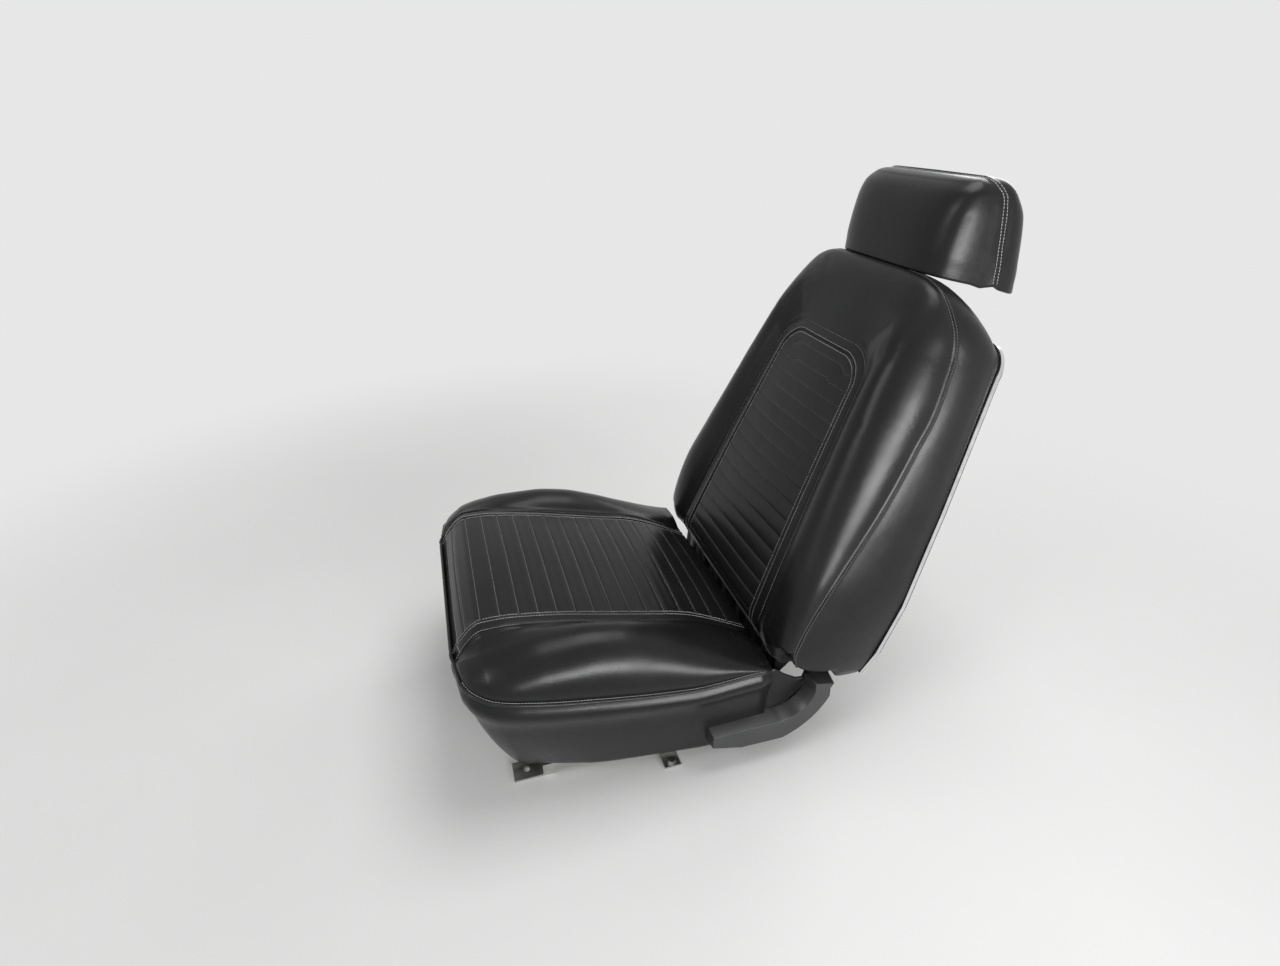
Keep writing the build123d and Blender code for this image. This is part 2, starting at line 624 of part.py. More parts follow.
for side, sign in SIDES:
    arm_plane = Plane.YZ.offset(sign * PAN_FRAME_HALF)
    with BuildPart() as hinge_arm:
        with BuildSketch(arm_plane):
            with BuildLine():
                arm_outline()
            make_face()
        extrude(amount=sign * ARM_THICK)
        # pivot pin, reaching inward through the backrest's bracket
        pin_start = sign * (PAN_FRAME_HALF - ARM_GAP - PIN_TAIL)
        with BuildSketch(Plane.YZ.offset(pin_start)):
            with Locations((PIVOT_Y, PIVOT_Z)):
                Circle(PIVOT_PIN_R)
        extrude(amount=sign * (PIN_TAIL + ARM_GAP + ARM_THICK))
    hinge_arm.part.label = f"hinge_arm_{side}"
    export_step(hinge_arm.part, f"parts/hinge_arm_{side}.step")

    rail_x = sign * BOLT_SPAN_X / 2
    rail_top = RAIL_FLOOR_GAP + RAIL_HEIGHT
    with BuildPart() as lower_track:
        with BuildSketch(Plane.XZ.offset(-RAIL_LENGTH / 2)):
            with Locations((rail_x, RAIL_FLOOR_GAP)):
                Rectangle(RAIL_WIDTH, RAIL_HEIGHT, align=(Align.CENTER, Align.MIN))
            with Locations((rail_x, RAIL_FLOOR_GAP + RAIL_SHEET)):
                Rectangle(
                    RAIL_WIDTH - 2 * RAIL_SHEET,
                    RAIL_HEIGHT - 2 * RAIL_SHEET,
                    align=(Align.CENTER, Align.MIN),
                    mode=Mode.SUBTRACT,
                )
            with Locations((rail_x, RAIL_FLOOR_GAP + RAIL_SHEET)):
                Rectangle(
                    RAIL_WIDTH - 2 * RAIL_LIP,
                    RAIL_HEIGHT,
                    align=(Align.CENTER, Align.MIN),
                    mode=Mode.SUBTRACT,
                )
        extrude(amount=RAIL_LENGTH)
        for end in (-1, 1):
            foot_y = end * BOLT_SPAN_Y / 2
            with Locations((rail_x, foot_y - end * FOOT_LENGTH / 4, 0)):
                Box(RAIL_WIDTH, FOOT_LENGTH * 1.5, FOOT_SHEET, align=(Align.CENTER, Align.CENTER, Align.MIN))
            pad_length = RAIL_LENGTH / 2 - (BOLT_SPAN_Y / 2 - FOOT_LENGTH)
            with Locations((rail_x, end * (RAIL_LENGTH / 2 - pad_length / 2), 0)):
                Box(RAIL_WIDTH, pad_length, RAIL_FLOOR_GAP, align=(Align.CENTER, Align.CENTER, Align.MIN))
            with Locations((rail_x, foot_y, FOOT_SHEET)):
                Hole(BOLT_HOLE_R, depth=FOOT_SHEET)
        # side tab, bolted down beside the rail
        with Locations((rail_x, SIDE_TAB_Y, 0)):
            Box(RAIL_WIDTH, SIDE_TAB_WIDTH, RAIL_FLOOR_GAP, align=(Align.CENTER, Align.CENTER, Align.MIN))
        with Locations((rail_x + sign * SIDE_TAB_REACH / 2, SIDE_TAB_Y, 0)):
            Box(SIDE_TAB_REACH, SIDE_TAB_WIDTH, FOOT_SHEET, align=(Align.CENTER, Align.CENTER, Align.MIN))
        with Locations((rail_x + sign * SIDE_BOLT_X, SIDE_TAB_Y, FOOT_SHEET)):
            Hole(SIDE_BOLT_R, depth=FOOT_SHEET)
    lower_track.part.label = f"lower_track_{side}"
    export_step(lower_track.part, f"parts/lower_track_{side}.step")

    with BuildPart() as side_bolt:
        with BuildSketch():
            with Locations((rail_x + sign * SIDE_BOLT_X, SIDE_TAB_Y)):
                Circle(SIDE_BOLT_R)
        extrude(amount=FOOT_SHEET)
        with BuildSketch(Plane.XY.offset(FOOT_SHEET)):
            with Locations((rail_x + sign * SIDE_BOLT_X, SIDE_TAB_Y)):
                RegularPolygon(SIDE_BOLT_HEAD_R, 6)
        extrude(amount=SIDE_BOLT_HEAD)
    side_bolt.part.label = f"side_bolt_{side}"
    export_step(side_bolt.part, f"parts/side_bolt_{side}.step")

    with BuildPart() as upper_track:
        flange_z = rail_top - RAIL_SHEET - RAIL_PLAY
        with BuildSketch(Plane.XZ.offset(-SLIDER_LENGTH / 2)):
            with Locations((rail_x, flange_z)):
                Rectangle(
                    RAIL_WIDTH - 2 * RAIL_SHEET - 2 * RAIL_PLAY, RAIL_SHEET, align=(Align.CENTER, Align.MAX)
                )
            with Locations((rail_x, flange_z)):
                Rectangle(SLIDER_STEM, FRAME_Z - flange_z, align=(Align.CENTER, Align.MIN))
            with Locations((rail_x, flange_z)):
                Rectangle(
                    SLIDER_STEM - 2 * RAIL_SHEET,
                    FRAME_Z - RAIL_SHEET - flange_z,
                    align=(Align.CENTER, Align.MIN),
                    mode=Mode.SUBTRACT,
                )
        extrude(amount=SLIDER_LENGTH)
        with Locations((rail_x, (PLATE_FRONT_Y + PLATE_REAR_Y) / 2, FRAME_Z)):
            Box(
                PLATE_WIDTH,
                PLATE_REAR_Y - PLATE_FRONT_Y,
                RAIL_SHEET,
                align=(Align.CENTER, Align.CENTER, Align.MAX),
            )
        # tongue that reaches under the front of the frame
        with Locations((rail_x - sign * TONGUE_INSET, (TONGUE_FRONT_Y + PLATE_FRONT_Y) / 2, FRAME_Z)):
            Box(
                TONGUE_WIDTH,
                PLATE_FRONT_Y - TONGUE_FRONT_Y,
                RAIL_SHEET,
                align=(Align.CENTER, Align.CENTER, Align.MAX),
            )
    upper_track.part.label = f"upper_track_{side}"
    export_step(upper_track.part, f"parts/upper_track_{side}.step")

# Fore and aft latch: a cross rod and the lever that turns it
with BuildPart() as latch_rod:
    with BuildSketch(Plane.YZ.offset(-(BOLT_SPAN_X - SLIDER_STEM) / 2)):
        with Locations((ROD_Y, ROD_Z)):
            Circle(ROD_R)
    extrude(amount=BOLT_SPAN_X - SLIDER_STEM)
latch_rod.part.label = "latch_rod"
export_step(latch_rod.part, "parts/latch_rod.step")

with BuildPart() as adjuster_lever:
    with BuildSketch(Plane.YZ.offset(LEVER_X - 8)):
        with Locations((ROD_Y, ROD_Z)):
            Circle(ROD_R + 3)
    extrude(amount=16)
    with BuildLine() as lever_path:
        FilletPolyline(
            (LEVER_X, ROD_Y - ROD_R - 1, ROD_Z),
            (LEVER_X, ROD_Y - 40, ROD_Z - 8),
            (LEVER_X, LEVER_FRONT_Y, LEVER_Z),
            radius=30,
        )
    with BuildSketch(Plane(origin=lever_path.line @ 0, z_dir=lever_path.line % 0)):
        Circle(ROD_R - 0.5)
    sweep()
    with BuildSketch(Plane.YZ.offset(LEVER_X - 9)):
        with Locations((ROD_Y, ROD_Z)):
            Circle(ROD_R)
    extrude(amount=18, mode=Mode.SUBTRACT)
adjuster_lever.part.label = "adjuster_lever"
export_step(adjuster_lever.part, "parts/adjuster_lever.step")

with BuildPart() as lever_knob:
    with BuildSketch(Plane.XZ.offset(-LEVER_FRONT_Y - KNOB_GRIP)):
        with Locations((LEVER_X, LEVER_Z)):
            Circle(KNOB_R)
    extrude(amount=KNOB_LENGTH)
    fillet(lever_knob.edges(), radius=2.0)
    add(adjuster_lever.part, mode=Mode.SUBTRACT)
lever_knob.part.label = "lever_knob"
export_step(lever_knob.part, "parts/lever_knob.step")


# Backrest, worked out in its own reclined frame: t runs up the back, n runs rearward
# Sections: t, half width, centre n, crown n, rear n
BACK_SECTIONS = (
    (BACK_FOOT, BACK_HALF - 14.0, 34.0, 36.0, BACK_REAR - 26.0),
    (-48.0, BACK_HALF - 4.0, 14.0, 10.0, BACK_REAR - 8.0),
    (-14.0, BACK_HALF, 0.0, -10.0, BACK_REAR),
    (90.0, BACK_HALF - 2.0, 0.0, -20.0, BACK_REAR),
    (250.0, BACK_HALF - 28.0, 4.4, -14.0, BACK_REAR),
    (400.0, BACK_HALF - 54.0, 11.2, -4.0, BACK_REAR),
    (480.0, BACK_HALF - 70.0, 16.0, 6.0, BACK_REAR),
    (BACK_TOP - 24.0, BACK_HALF - 94.0, 24.0, 20.0, BACK_REAR - 10.0),
    (BACK_TOP - 7.0, BACK_HALF - 124.0, 38.0, 36.0, BACK_REAR - 31.0),
    (BACK_TOP, BACK_HALF - 158.0, 56.0, 55.0, BACK_REAR - 58.0),
)


def back_station(t):
    """Plane across the backrest at a distance t up it, its y axis pointing forward."""
    return Plane(origin=BACK.origin + BACK.y_dir * t, x_dir=(1, 0, 0), z_dir=-BACK.y_dir)


with BuildPart() as back_body:
    for t, half, centre_n, crown_n, rear_n in BACK_SECTIONS:
        seam_half = min(BACK_INSERT_HALF + BORDER - BACK_INSERT_TAPER * t, half * SEAM_SHARE)
        shoulder = -crown_n - min(SHOULDER_DROP, SHOULDER_FALL * (rear_n - crown_n))
        with BuildSketch(back_station(t)):
            with BuildLine():
                channel_section(half, seam_half, -centre_n, -crown_n, shoulder, -rear_n)
            make_face()
    loft(ruled=True)

# Place of the pivot in the backrest's frame
pivot_local = BACK.to_local_coords(Vector(0, PIVOT_Y, PIVOT_Z))
pivot_t = pivot_local.Y
pivot_f = pivot_local.Z


# Lower outer corners, cut back where the hinge cover passes when the back folds
cover_end_run = PIVOT_Y - COVER_END_FRONT_Y
cover_end_drop = PIVOT_Z - COVER_END_Z
cut_r = (cover_end_run**2 + cover_end_drop**2) ** 0.5 - COVER_CLEAR
cut_start = degrees(atan2(cover_end_run, cover_end_drop))
cut_end = cut_start + FOLD + COVER_CLEAR
cut_rear_y = COVER_END_REAR_Y + COVER_CLEAR
with BuildPart() as corner_cuts:
    for side, sign in SIDES:
        with BuildSketch(Plane.YZ.offset(sign * (COVER_INNER_X - TAB_GAP - TAB_THICK - COVER_CLEAR))):
            with BuildLine():
                Polyline(
                    (cut_rear_y, COVER_TOP_Z),
                    (cut_rear_y, COVER_END_Z - COVER_END_SLANT + COVER_CLEAR),
                    pivot_ray(cut_start, cut_r),
                )
                ThreePointArc(
                    pivot_ray(cut_start, cut_r),
                    pivot_ray((cut_start + cut_end) / 2, cut_r),
                    pivot_ray(cut_end, cut_r),
                )
                Polyline(
                    pivot_ray(cut_end, cut_r),
                    pivot_ray(cut_end, 2 * cut_r),
                    pivot_ray(cut_end / 2, 2 * cut_r),
                    (cut_rear_y, COVER_TOP_Z),
                )
            make_face()
        extrude(amount=sign * 2 * COVER_OUT)

# Slots in which the hinge arms swing, open below
slot_r = ARM_TOP_R + ARM_GAP
slot_deep = PIVOT_Z - ARM_FOOT_Z - ARM_FOOT_HEIGHT + 2.0
fold_edge = pivot_ray(FOLD - 90.0, -slot_r)
fold_way = pivot_ray(FOLD + 6.0, slot_deep)
with BuildPart() as arm_slots:
    for side, sign in SIDES:
        with BuildSketch(Plane.YZ.offset(sign * (PAN_FRAME_HALF - ARM_GAP))):
            with BuildLine():
                Polyline(
                    (PIVOT_Y + slot_r, PIVOT_Z),
                    (PIVOT_Y + slot_r, PIVOT_Z - slot_deep),
                    (fold_way[0], PIVOT_Z - slot_deep),
                    (fold_edge[0] + fold_way[0] - PIVOT_Y, fold_edge[1] + fold_way[1] - PIVOT_Z),
                    fold_edge,
                )
                ThreePointArc(fold_edge, (PIVOT_Y, PIVOT_Z + slot_r), (PIVOT_Y + slot_r, PIVOT_Z))
            make_face()
        extrude(amount=sign * (ARM_THICK + 2 * ARM_GAP))

# Side line of the seam that parts the front cover from the boxing, as t and forward offset
SEAM_START = (-90.0, -60.0)
SEAM_FOOT = (-24.0, -22.0)
SEAM_MIDDLE = (190.0, -52.0)
SEAM_SHOULDER = (400.0, -89.0)
SEAM_CORNER = (485.0, -80.0)
SEAM_TOP = (570.0, -36.0)


def seam_lines():
    """Side view of the front cover's seam, from below the back to above it."""
    Line(SEAM_START, SEAM_FOOT)
    ThreePointArc(SEAM_FOOT, SEAM_MIDDLE, SEAM_SHOULDER)
    ThreePointArc(SEAM_SHOULDER, SEAM_CORNER, SEAM_TOP)


back_pleats = []
pleat_t = 0.0
while pleat_t > BACK_INSERT_FOOT + PLEAT / 3:
    pleat_t -= PLEAT
back_pleats.append((BACK_INSERT_FOOT, back_front(BACK_INSERT_FOOT)))
pleat_t += PLEAT
while pleat_t < BACK_INSERT_TOP - PLEAT / 3:
    back_pleats.append((pleat_t, back_front(pleat_t)))
    pleat_t += PLEAT
back_pleats.append((BACK_INSERT_TOP + 2, back_front(BACK_INSERT_TOP + 2)))
under_foot = (back_pleats[0][0], back_pleats[0][1] - INSERT_THICK)
under_mid = (BACK_INSERT_TOP / 2, back_front(BACK_INSERT_TOP / 2) - INSERT_THICK)
under_top = (back_pleats[-1][0], back_pleats[-1][1] - INSERT_THICK)


def back_insert_outline():
    """Front view of the backrest insert: straight tapering sides and an arched top."""
    foot_half = BACK_INSERT_HALF - BACK_INSERT_TAPER * BACK_INSERT_FOOT
    shoulder_t = BACK_INSERT_TOP - BACK_INSERT_CORNER_R - 7
    shoulder_half = BACK_INSERT_HALF - BACK_INSERT_TAPER * shoulder_t
    cap_t = BACK_INSERT_TOP - 7
    cap_half = shoulder_half - BACK_INSERT_CORNER_R
    bend = (shoulder_half - CORNER_IN * BACK_INSERT_CORNER_R, cap_t - CORNER_IN * BACK_INSERT_CORNER_R)
    Line((-foot_half, BACK_INSERT_FOOT), (foot_half, BACK_INSERT_FOOT))
    Line((foot_half, BACK_INSERT_FOOT), (shoulder_half, shoulder_t))
    ThreePointArc((shoulder_half, shoulder_t), bend, (cap_half, cap_t))
    ThreePointArc((cap_half, cap_t), (0, BACK_INSERT_TOP), (-cap_half, cap_t))
    ThreePointArc((-cap_half, cap_t), (-bend[0], bend[1]), (-shoulder_half, shoulder_t))
    Line((-shoulder_half, shoulder_t), (-foot_half, BACK_INSERT_FOOT))


with BuildPart() as backrest_insert:
    with BuildSketch(BACK_SIDE):
        with BuildLine():
            pleats(back_pleats, PLEAT_CROWN)
            Line(back_pleats[-1], under_top)
            ThreePointArc(under_top, under_mid, under_foot)
            Line(under_foot, back_pleats[0])
        make_face()
    extrude(amount=BACK_INSERT_HALF + 20, both=True)
    with BuildSketch(BACK):
        with BuildLine():
            back_insert_outline()
        make_face()
    extrude(amount=60, both=True, mode=Mode.INTERSECT)
backrest_insert.part.label = "backrest_insert"
export_step(backrest_insert.part, "parts/backrest_insert.step")

with BuildPart() as insert_pocket:
    with BuildSketch(BACK_SIDE):
        with BuildLine():
            Polyline(
                under_foot,
                (BACK_INSERT_FOOT, 60),
                (BACK_INSERT_TOP + 2, 60),
                under_top,
            )
            ThreePointArc(under_top, under_mid, under_foot)
        make_face()
    extrude(amount=BACK_INSERT_HALF + 20, both=True)
    with BuildSketch(BACK):
        with BuildLine():
            back_insert_outline()
        make_face()
    extrude(amount=80, both=True, mode=Mode.INTERSECT)

with BuildPart() as backrest_cushion:
    add(back_body.part)
    with BuildSketch(BACK_SIDE):
        with BuildLine():
            seam_lines()
            Polyline(SEAM_TOP, (SEAM_TOP[0], 80), (SEAM_START[0], 80), SEAM_START)
        make_face()
    extrude(amount=300, both=True, mode=Mode.INTERSECT)
    add(insert_pocket.part, mode=Mode.SUBTRACT)
    add(corner_cuts.part, mode=Mode.SUBTRACT)
    add(arm_slots.part, mode=Mode.SUBTRACT)
backrest_cushion.part.label = "backrest_cushion"
export_step(backrest_cushion.part, "parts/backrest_cushion.step")

# Padded flap below the backrest, which hides the gap behind the seat pan
flap_end = BACK_FOOT - FLAP_LENGTH
flap_near = -FLAP_N
flap_far = -FLAP_N - FLAP_ROOT
flap_middle = -FLAP_N - FLAP_SLANT - FLAP_EDGE / 2
with BuildPart() as backrest_flap:
    with BuildSketch(BACK_SIDE):
        with BuildLine():
            Polyline(
                (flap_end, flap_middle - FLAP_EDGE / 2),
                (BACK_FOOT, flap_far),
                (BACK_FOOT, flap_near),
                (flap_end, flap_middle + FLAP_EDGE / 2),
            )
            ThreePointArc(
                (flap_end, flap_middle + FLAP_EDGE / 2),
                (flap_end - FLAP_EDGE / 2, flap_middle),
                (flap_end, flap_middle - FLAP_EDGE / 2),
            )
        make_face()
    extrude(amount=PAN_FRAME_HALF - ARM_GAP - FLAP_SIDE_GAP, both=True)
backrest_flap.part.label = "backrest_flap"
export_step(backrest_flap.part, "parts/backrest_flap.step")

# Place of the release knob, facing rearward
knob_place = BACK.origin + BACK.y_dir * KNOB_T - BACK.z_dir * KNOB_SEAT_N + Vector(KNOB_X, 0, 0)
knob_plane = Plane(origin=knob_place, z_dir=-BACK.z_dir)

with BuildPart() as backrest_boxing:
    add(back_body.part)
    with BuildSketch(BACK_SIDE):
        with BuildLine():
            seam_lines()
            Polyline(SEAM_TOP, (SEAM_TOP[0], 80), (SEAM_START[0], 80), SEAM_START)
        make_face()
    extrude(amount=300, both=True, mode=Mode.SUBTRACT)
    add(corner_cuts.part, mode=Mode.SUBTRACT)
    # hollow behind the foam, closed by the rear shell
    with BuildSketch(BACK.offset(-BACK_REAR)):
        with BuildLine():
            Polyline(
                (-HOLLOW_FOOT_HALF, HOLLOW_FOOT_T),
                (HOLLOW_FOOT_HALF, HOLLOW_FOOT_T),
                (HOLLOW_TOP_HALF, HOLLOW_TOP_T),
                (-HOLLOW_TOP_HALF, HOLLOW_TOP_T),
                close=True,
            )
        make_face()
    extrude(amount=HOLLOW_DEPTH, mode=Mode.SUBTRACT)
    add(arm_slots.part, mode=Mode.SUBTRACT)
    # recesses for the pivot brackets and the tails of the pins
    for side, sign in SIDES:
        with BuildSketch(BACK_SIDE.offset(sign * (PAN_FRAME_HALF - ARM_GAP))):
            with Locations((pivot_t + BRACKET_REACH / 2, pivot_f)):
                SlotCenterToCenter(BRACKET_REACH, 2 * BRACKET_R)
        extrude(amount=sign * BRACKET_THICK, mode=Mode.SUBTRACT)
        with BuildSketch(BACK_SIDE.offset(sign * (PAN_FRAME_HALF - ARM_GAP))):
            with Locations((pivot_t, pivot_f)):
                Circle(PIVOT_PIN_R + PIN_TAIL)
        extrude(amount=-sign * 2 * PIN_TAIL, mode=Mode.SUBTRACT)
    # channel for the headrest bar
    with BuildSketch(back_station(BACK_TOP + 5)):
        with Locations((0, -BAR_N)):
            Rectangle(BAR_WIDTH + 2 * BAR_FIT, BAR_THICK + 2 * BAR_FIT)
    extrude(amount=BACK_TOP + 5 - BAR_FOOT_T + 10, mode=Mode.SUBTRACT)
    # seat for the release knob's bezel
    with Locations(knob_plane):
        Cylinder(BEZEL_R, 40, align=(Align.CENTER, Align.CENTER, Align.MIN), mode=Mode.SUBTRACT)
backrest_boxing.part.label = "backrest_boxing"
export_step(backrest_boxing.part, "parts/backrest_boxing.step")

with BuildPart() as latch_bezel:
    with Locations(knob_plane):
        Cylinder(BEZEL_R, BEZEL_THICK, align=(Align.CENTER, Align.CENTER, Align.MIN))
latch_bezel.part.label = "latch_bezel"
export_step(latch_bezel.part, "parts/latch_bezel.step")

with BuildPart() as latch_knob:
    with Locations(knob_plane.offset(BEZEL_THICK)):
        Cylinder(KNOB_STEM_R, KNOB_OUT, align=(Align.CENTER, Align.CENTER, Align.MIN))
    with Locations(knob_plane.offset(BEZEL_THICK + KNOB_OUT)):
        Cylinder(KNOB_HEAD_R, KNOB_HEAD, align=(Align.CENTER, Align.CENTER, Align.MIN))
    rim = latch_knob.faces().sort_by(Axis(knob_plane.origin, knob_plane.z_dir))[-1].edges()
    fillet(rim, radius=KNOB_HEAD / 2)
latch_knob.part.label = "latch_knob"
export_step(latch_knob.part, "parts/latch_knob.step")

for side, sign in SIDES:
    with BuildPart() as pivot_bracket:
        with BuildSketch(BACK_SIDE.offset(sign * (PAN_FRAME_HALF - ARM_GAP))):
            with Locations((pivot_t + BRACKET_REACH / 2, pivot_f)):
                SlotCenterToCenter(BRACKET_REACH, 2 * BRACKET_R)
            with Locations((pivot_t, pivot_f)):
                Circle(PIVOT_PIN_R + PIVOT_FIT, mode=Mode.SUBTRACT)
        extrude(amount=sign * BRACKET_THICK)
    pivot_bracket.part.label = f"pivot_bracket_{side}"
    export_step(pivot_bracket.part, f"parts/pivot_bracket_{side}.step")


# Side edge of the rear shell: distance up the back, half width
SHELL_EDGE = (
    (SHELL_FOOT_T, BACK_HALF - 10.0),
    (0.0, BACK_HALF - 2.0),
    (90.0, BACK_HALF - 4.0),
    (250.0, BACK_HALF - 29.0),
)


def shell_outline(inset):
    """Front view of the rear shell: tapering sides with rounded top corners."""
    top = SHELL_TOP_T - inset
    half = SHELL_TOP_HALF - inset
    bend = (half - CORNER_IN * SHELL_CORNER_R, top - CORNER_IN * SHELL_CORNER_R)
    edge = [(width - inset, t) for t, width in SHELL_EDGE]
    edge[0] = (edge[0][0], SHELL_FOOT_T + inset)
    edge.append((half, top - SHELL_CORNER_R))
    other = [(-x, t) for x, t in reversed(edge)]
    Polyline(*edge)
    ThreePointArc((half, top - SHELL_CORNER_R), bend, (half - SHELL_CORNER_R, top))
    Line((half - SHELL_CORNER_R, top), (-(half - SHELL_CORNER_R), top))
    ThreePointArc((-(half - SHELL_CORNER_R), top), (-bend[0], bend[1]), (-half, top - SHELL_CORNER_R))
    Polyline(*other, edge[0])


with BuildPart() as shell_trim:
    with BuildSketch(BACK.offset(-BACK_REAR)):
        with BuildLine():
            shell_outline(-TRIM_PROUD)
        make_face()
        with BuildLine():
            shell_outline(TRIM_WIDTH)
        make_face(mode=Mode.SUBTRACT)
    extrude(amount=-SHELL_LIP)
shell_trim.part.label = "shell_trim"
export_step(shell_trim.part, "parts/shell_trim.step")

with BuildPart() as back_shell:
    with BuildSketch(BACK.offset(-BACK_REAR)):
        with BuildLine():
            shell_outline(TRIM_WIDTH)
        make_face()
    extrude(amount=-SHELL_LIP)
    with BuildSketch(BACK.offset(-BACK_REAR - SHELL_LIP)):
        with BuildLine():
            shell_outline(1.0)
        make_face()
    extrude(amount=-(SHELL_THICK - SHELL_LIP))
    rear_face = back_shell.faces().sort_by(Axis(BACK.origin, BACK.z_dir))[0]
    chamfer(rear_face.edges(), length=6.0)
    with BuildSketch(BACK.offset(-BACK_REAR - SHELL_THICK)):
        with BuildLine():
            shell_outline(FIELD_INSET)
        make_face()
    extrude(amount=FIELD_DEPTH, mode=Mode.SUBTRACT)
    # hollow inside of the moulding
    with BuildSketch(BACK.offset(-BACK_REAR)):
        with BuildLine():
            shell_outline(SHELL_RIM)
        make_face()
    extrude(amount=-(SHELL_THICK - FIELD_DEPTH - SHELL_WALL), mode=Mode.SUBTRACT)
back_shell.part.label = "back_shell"
export_step(back_shell.part, "parts/back_shell.step")

# Headrest sections: distance below the top, before the middle, behind it, half width, corner radius
HEADREST_SECTIONS = (
    (180.0, 78.0, 110.0, HEADREST_HALF - 5.0, 40.0),
    (105.0, 71.0, 94.0, HEADREST_HALF, 44.0),
    (47.0, 60.0, 78.0, HEADREST_HALF, 44.0),
    (22.0, 49.0, 57.0, HEADREST_HALF - 4.0, 38.0),
    (6.0, 33.0, 38.0, HEADREST_HALF - 14.0, 26.0),
    (0.0, 15.0, 18.0, HEADREST_HALF - 30.0, 12.0),
)
sole_place = (0, HEADREST_Y, HEADREST_TOP_Z - HEADREST_HEIGHT)
HEADREST_SOLE = Plane(origin=sole_place, x_dir=(1, 0, 0), z_dir=(0, HEADREST_TILT, 1))
bar_base = BACK.origin + BACK.y_dir * BAR_FOOT_T - BACK.z_dir * BAR_N
BAR_PLANE = Plane(origin=bar_base, x_dir=(1, 0, 0), z_dir=BACK.y_dir)

with BuildPart() as headrest_bar:
    with BuildSketch(BAR_PLANE):
        Rectangle(BAR_WIDTH, BAR_THICK)
    extrude(amount=BAR_LENGTH)
    # notches that the catch in the backrest drops into
    with BuildSketch(Plane(origin=bar_base, x_dir=BACK.y_dir, z_dir=-BACK.z_dir)):
        stop_pitch = LIFT / (STOP_COUNT - 1)
        with Locations(*[(STOP_FIRST + step * stop_pitch, BAR_WIDTH / 2) for step in range(STOP_COUNT)]):
            Circle(STOP_R)
    extrude(amount=BAR_THICK, both=True, mode=Mode.SUBTRACT)
headrest_bar.part.label = "headrest_bar"
export_step(headrest_bar.part, "parts/headrest_bar.step")

with BuildPart() as headrest_body:
    for below, before, behind, half, corner in HEADREST_SECTIONS:
        with BuildSketch(Plane.XY.offset(HEADREST_TOP_Z - below)):
            with Locations((0, HEADREST_Y + (behind - before) / 2)):
                RectangleRounded(2 * half, before + behind, corner)
    loft(ruled=True)
    split(bisect_by=HEADREST_SOLE, keep=Keep.TOP)
    add(headrest_bar.part, mode=Mode.SUBTRACT)

# Side view of the seam between the headrest's front and back covers, and a line well behind it
HEADREST_SEAM = (
    (HEADREST_Y + 41.0, HEADREST_TOP_Z - 190.0),
    (HEADREST_Y + 15.0, HEADREST_TOP_Z - 24.0),
    (HEADREST_Y - 7.0, HEADREST_TOP_Z + 15.0),
    (HEADREST_Y + HEADREST_HALF, HEADREST_TOP_Z + 15.0),
    (HEADREST_Y + HEADREST_HALF, HEADREST_TOP_Z - 190.0),
)
for name, mode in (("headrest_cushion", Mode.SUBTRACT), ("headrest_back", Mode.INTERSECT)):
    with BuildPart() as headrest_half:
        add(headrest_body.part)
        with BuildSketch(SIDE):
            with BuildLine():
                Polyline(*HEADREST_SEAM, close=True)
            make_face()
        extrude(amount=HEADREST_HALF + BORDER, both=True, mode=mode)
    headrest_half.part.label = name
    export_step(headrest_half.part, f"parts/{name}.step")

with BuildPart() as headrest_escutcheon:
    with BuildSketch(back_station(BACK_TOP)):
        with Locations((0, -BAR_N)):
            RectangleRounded(BAR_WIDTH + 26, BAR_THICK + 20, 8)
            Rectangle(BAR_WIDTH + 2 * BAR_FIT, BAR_THICK + 2 * BAR_FIT, mode=Mode.SUBTRACT)
    extrude(amount=-4)
headrest_escutcheon.part.label = "headrest_escutcheon"
export_step(headrest_escutcheon.part, "parts/headrest_escutcheon.step")
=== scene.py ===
"""A front bucket seat: padded vinyl covers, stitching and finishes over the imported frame."""

from math import cos, pi, radians, sin, tau

import bmesh
import bpy
import numpy as np
from mathutils import Matrix, Vector
from mathutils.kdtree import KDTree


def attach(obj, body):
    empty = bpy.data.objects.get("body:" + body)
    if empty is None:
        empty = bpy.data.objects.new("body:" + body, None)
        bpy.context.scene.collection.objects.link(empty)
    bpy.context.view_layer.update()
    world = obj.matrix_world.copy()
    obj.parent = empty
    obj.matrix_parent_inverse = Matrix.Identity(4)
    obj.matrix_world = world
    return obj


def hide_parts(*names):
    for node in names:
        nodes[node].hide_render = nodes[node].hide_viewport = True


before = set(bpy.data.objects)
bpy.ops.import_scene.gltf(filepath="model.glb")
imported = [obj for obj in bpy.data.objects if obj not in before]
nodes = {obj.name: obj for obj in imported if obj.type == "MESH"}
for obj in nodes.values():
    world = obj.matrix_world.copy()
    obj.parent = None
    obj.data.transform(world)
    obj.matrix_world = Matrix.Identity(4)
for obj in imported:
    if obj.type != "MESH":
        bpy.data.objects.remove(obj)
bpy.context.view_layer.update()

MM = 0.001
CLOTH_MESH = 6.0
CLOTH_FRAMES = 20
PLEAT = 28.0
RECLINE = radians(20.3)
BACK_Y = 210.0
BACK_Z = 243.0
SIN_R = sin(RECLINE)
COS_R = cos(RECLINE)


def add(name, data):
    """A new object in the scene."""
    made = bpy.data.objects.new(name, data)
    bpy.context.scene.collection.objects.link(made)
    return made


# Camera at the photograph's place


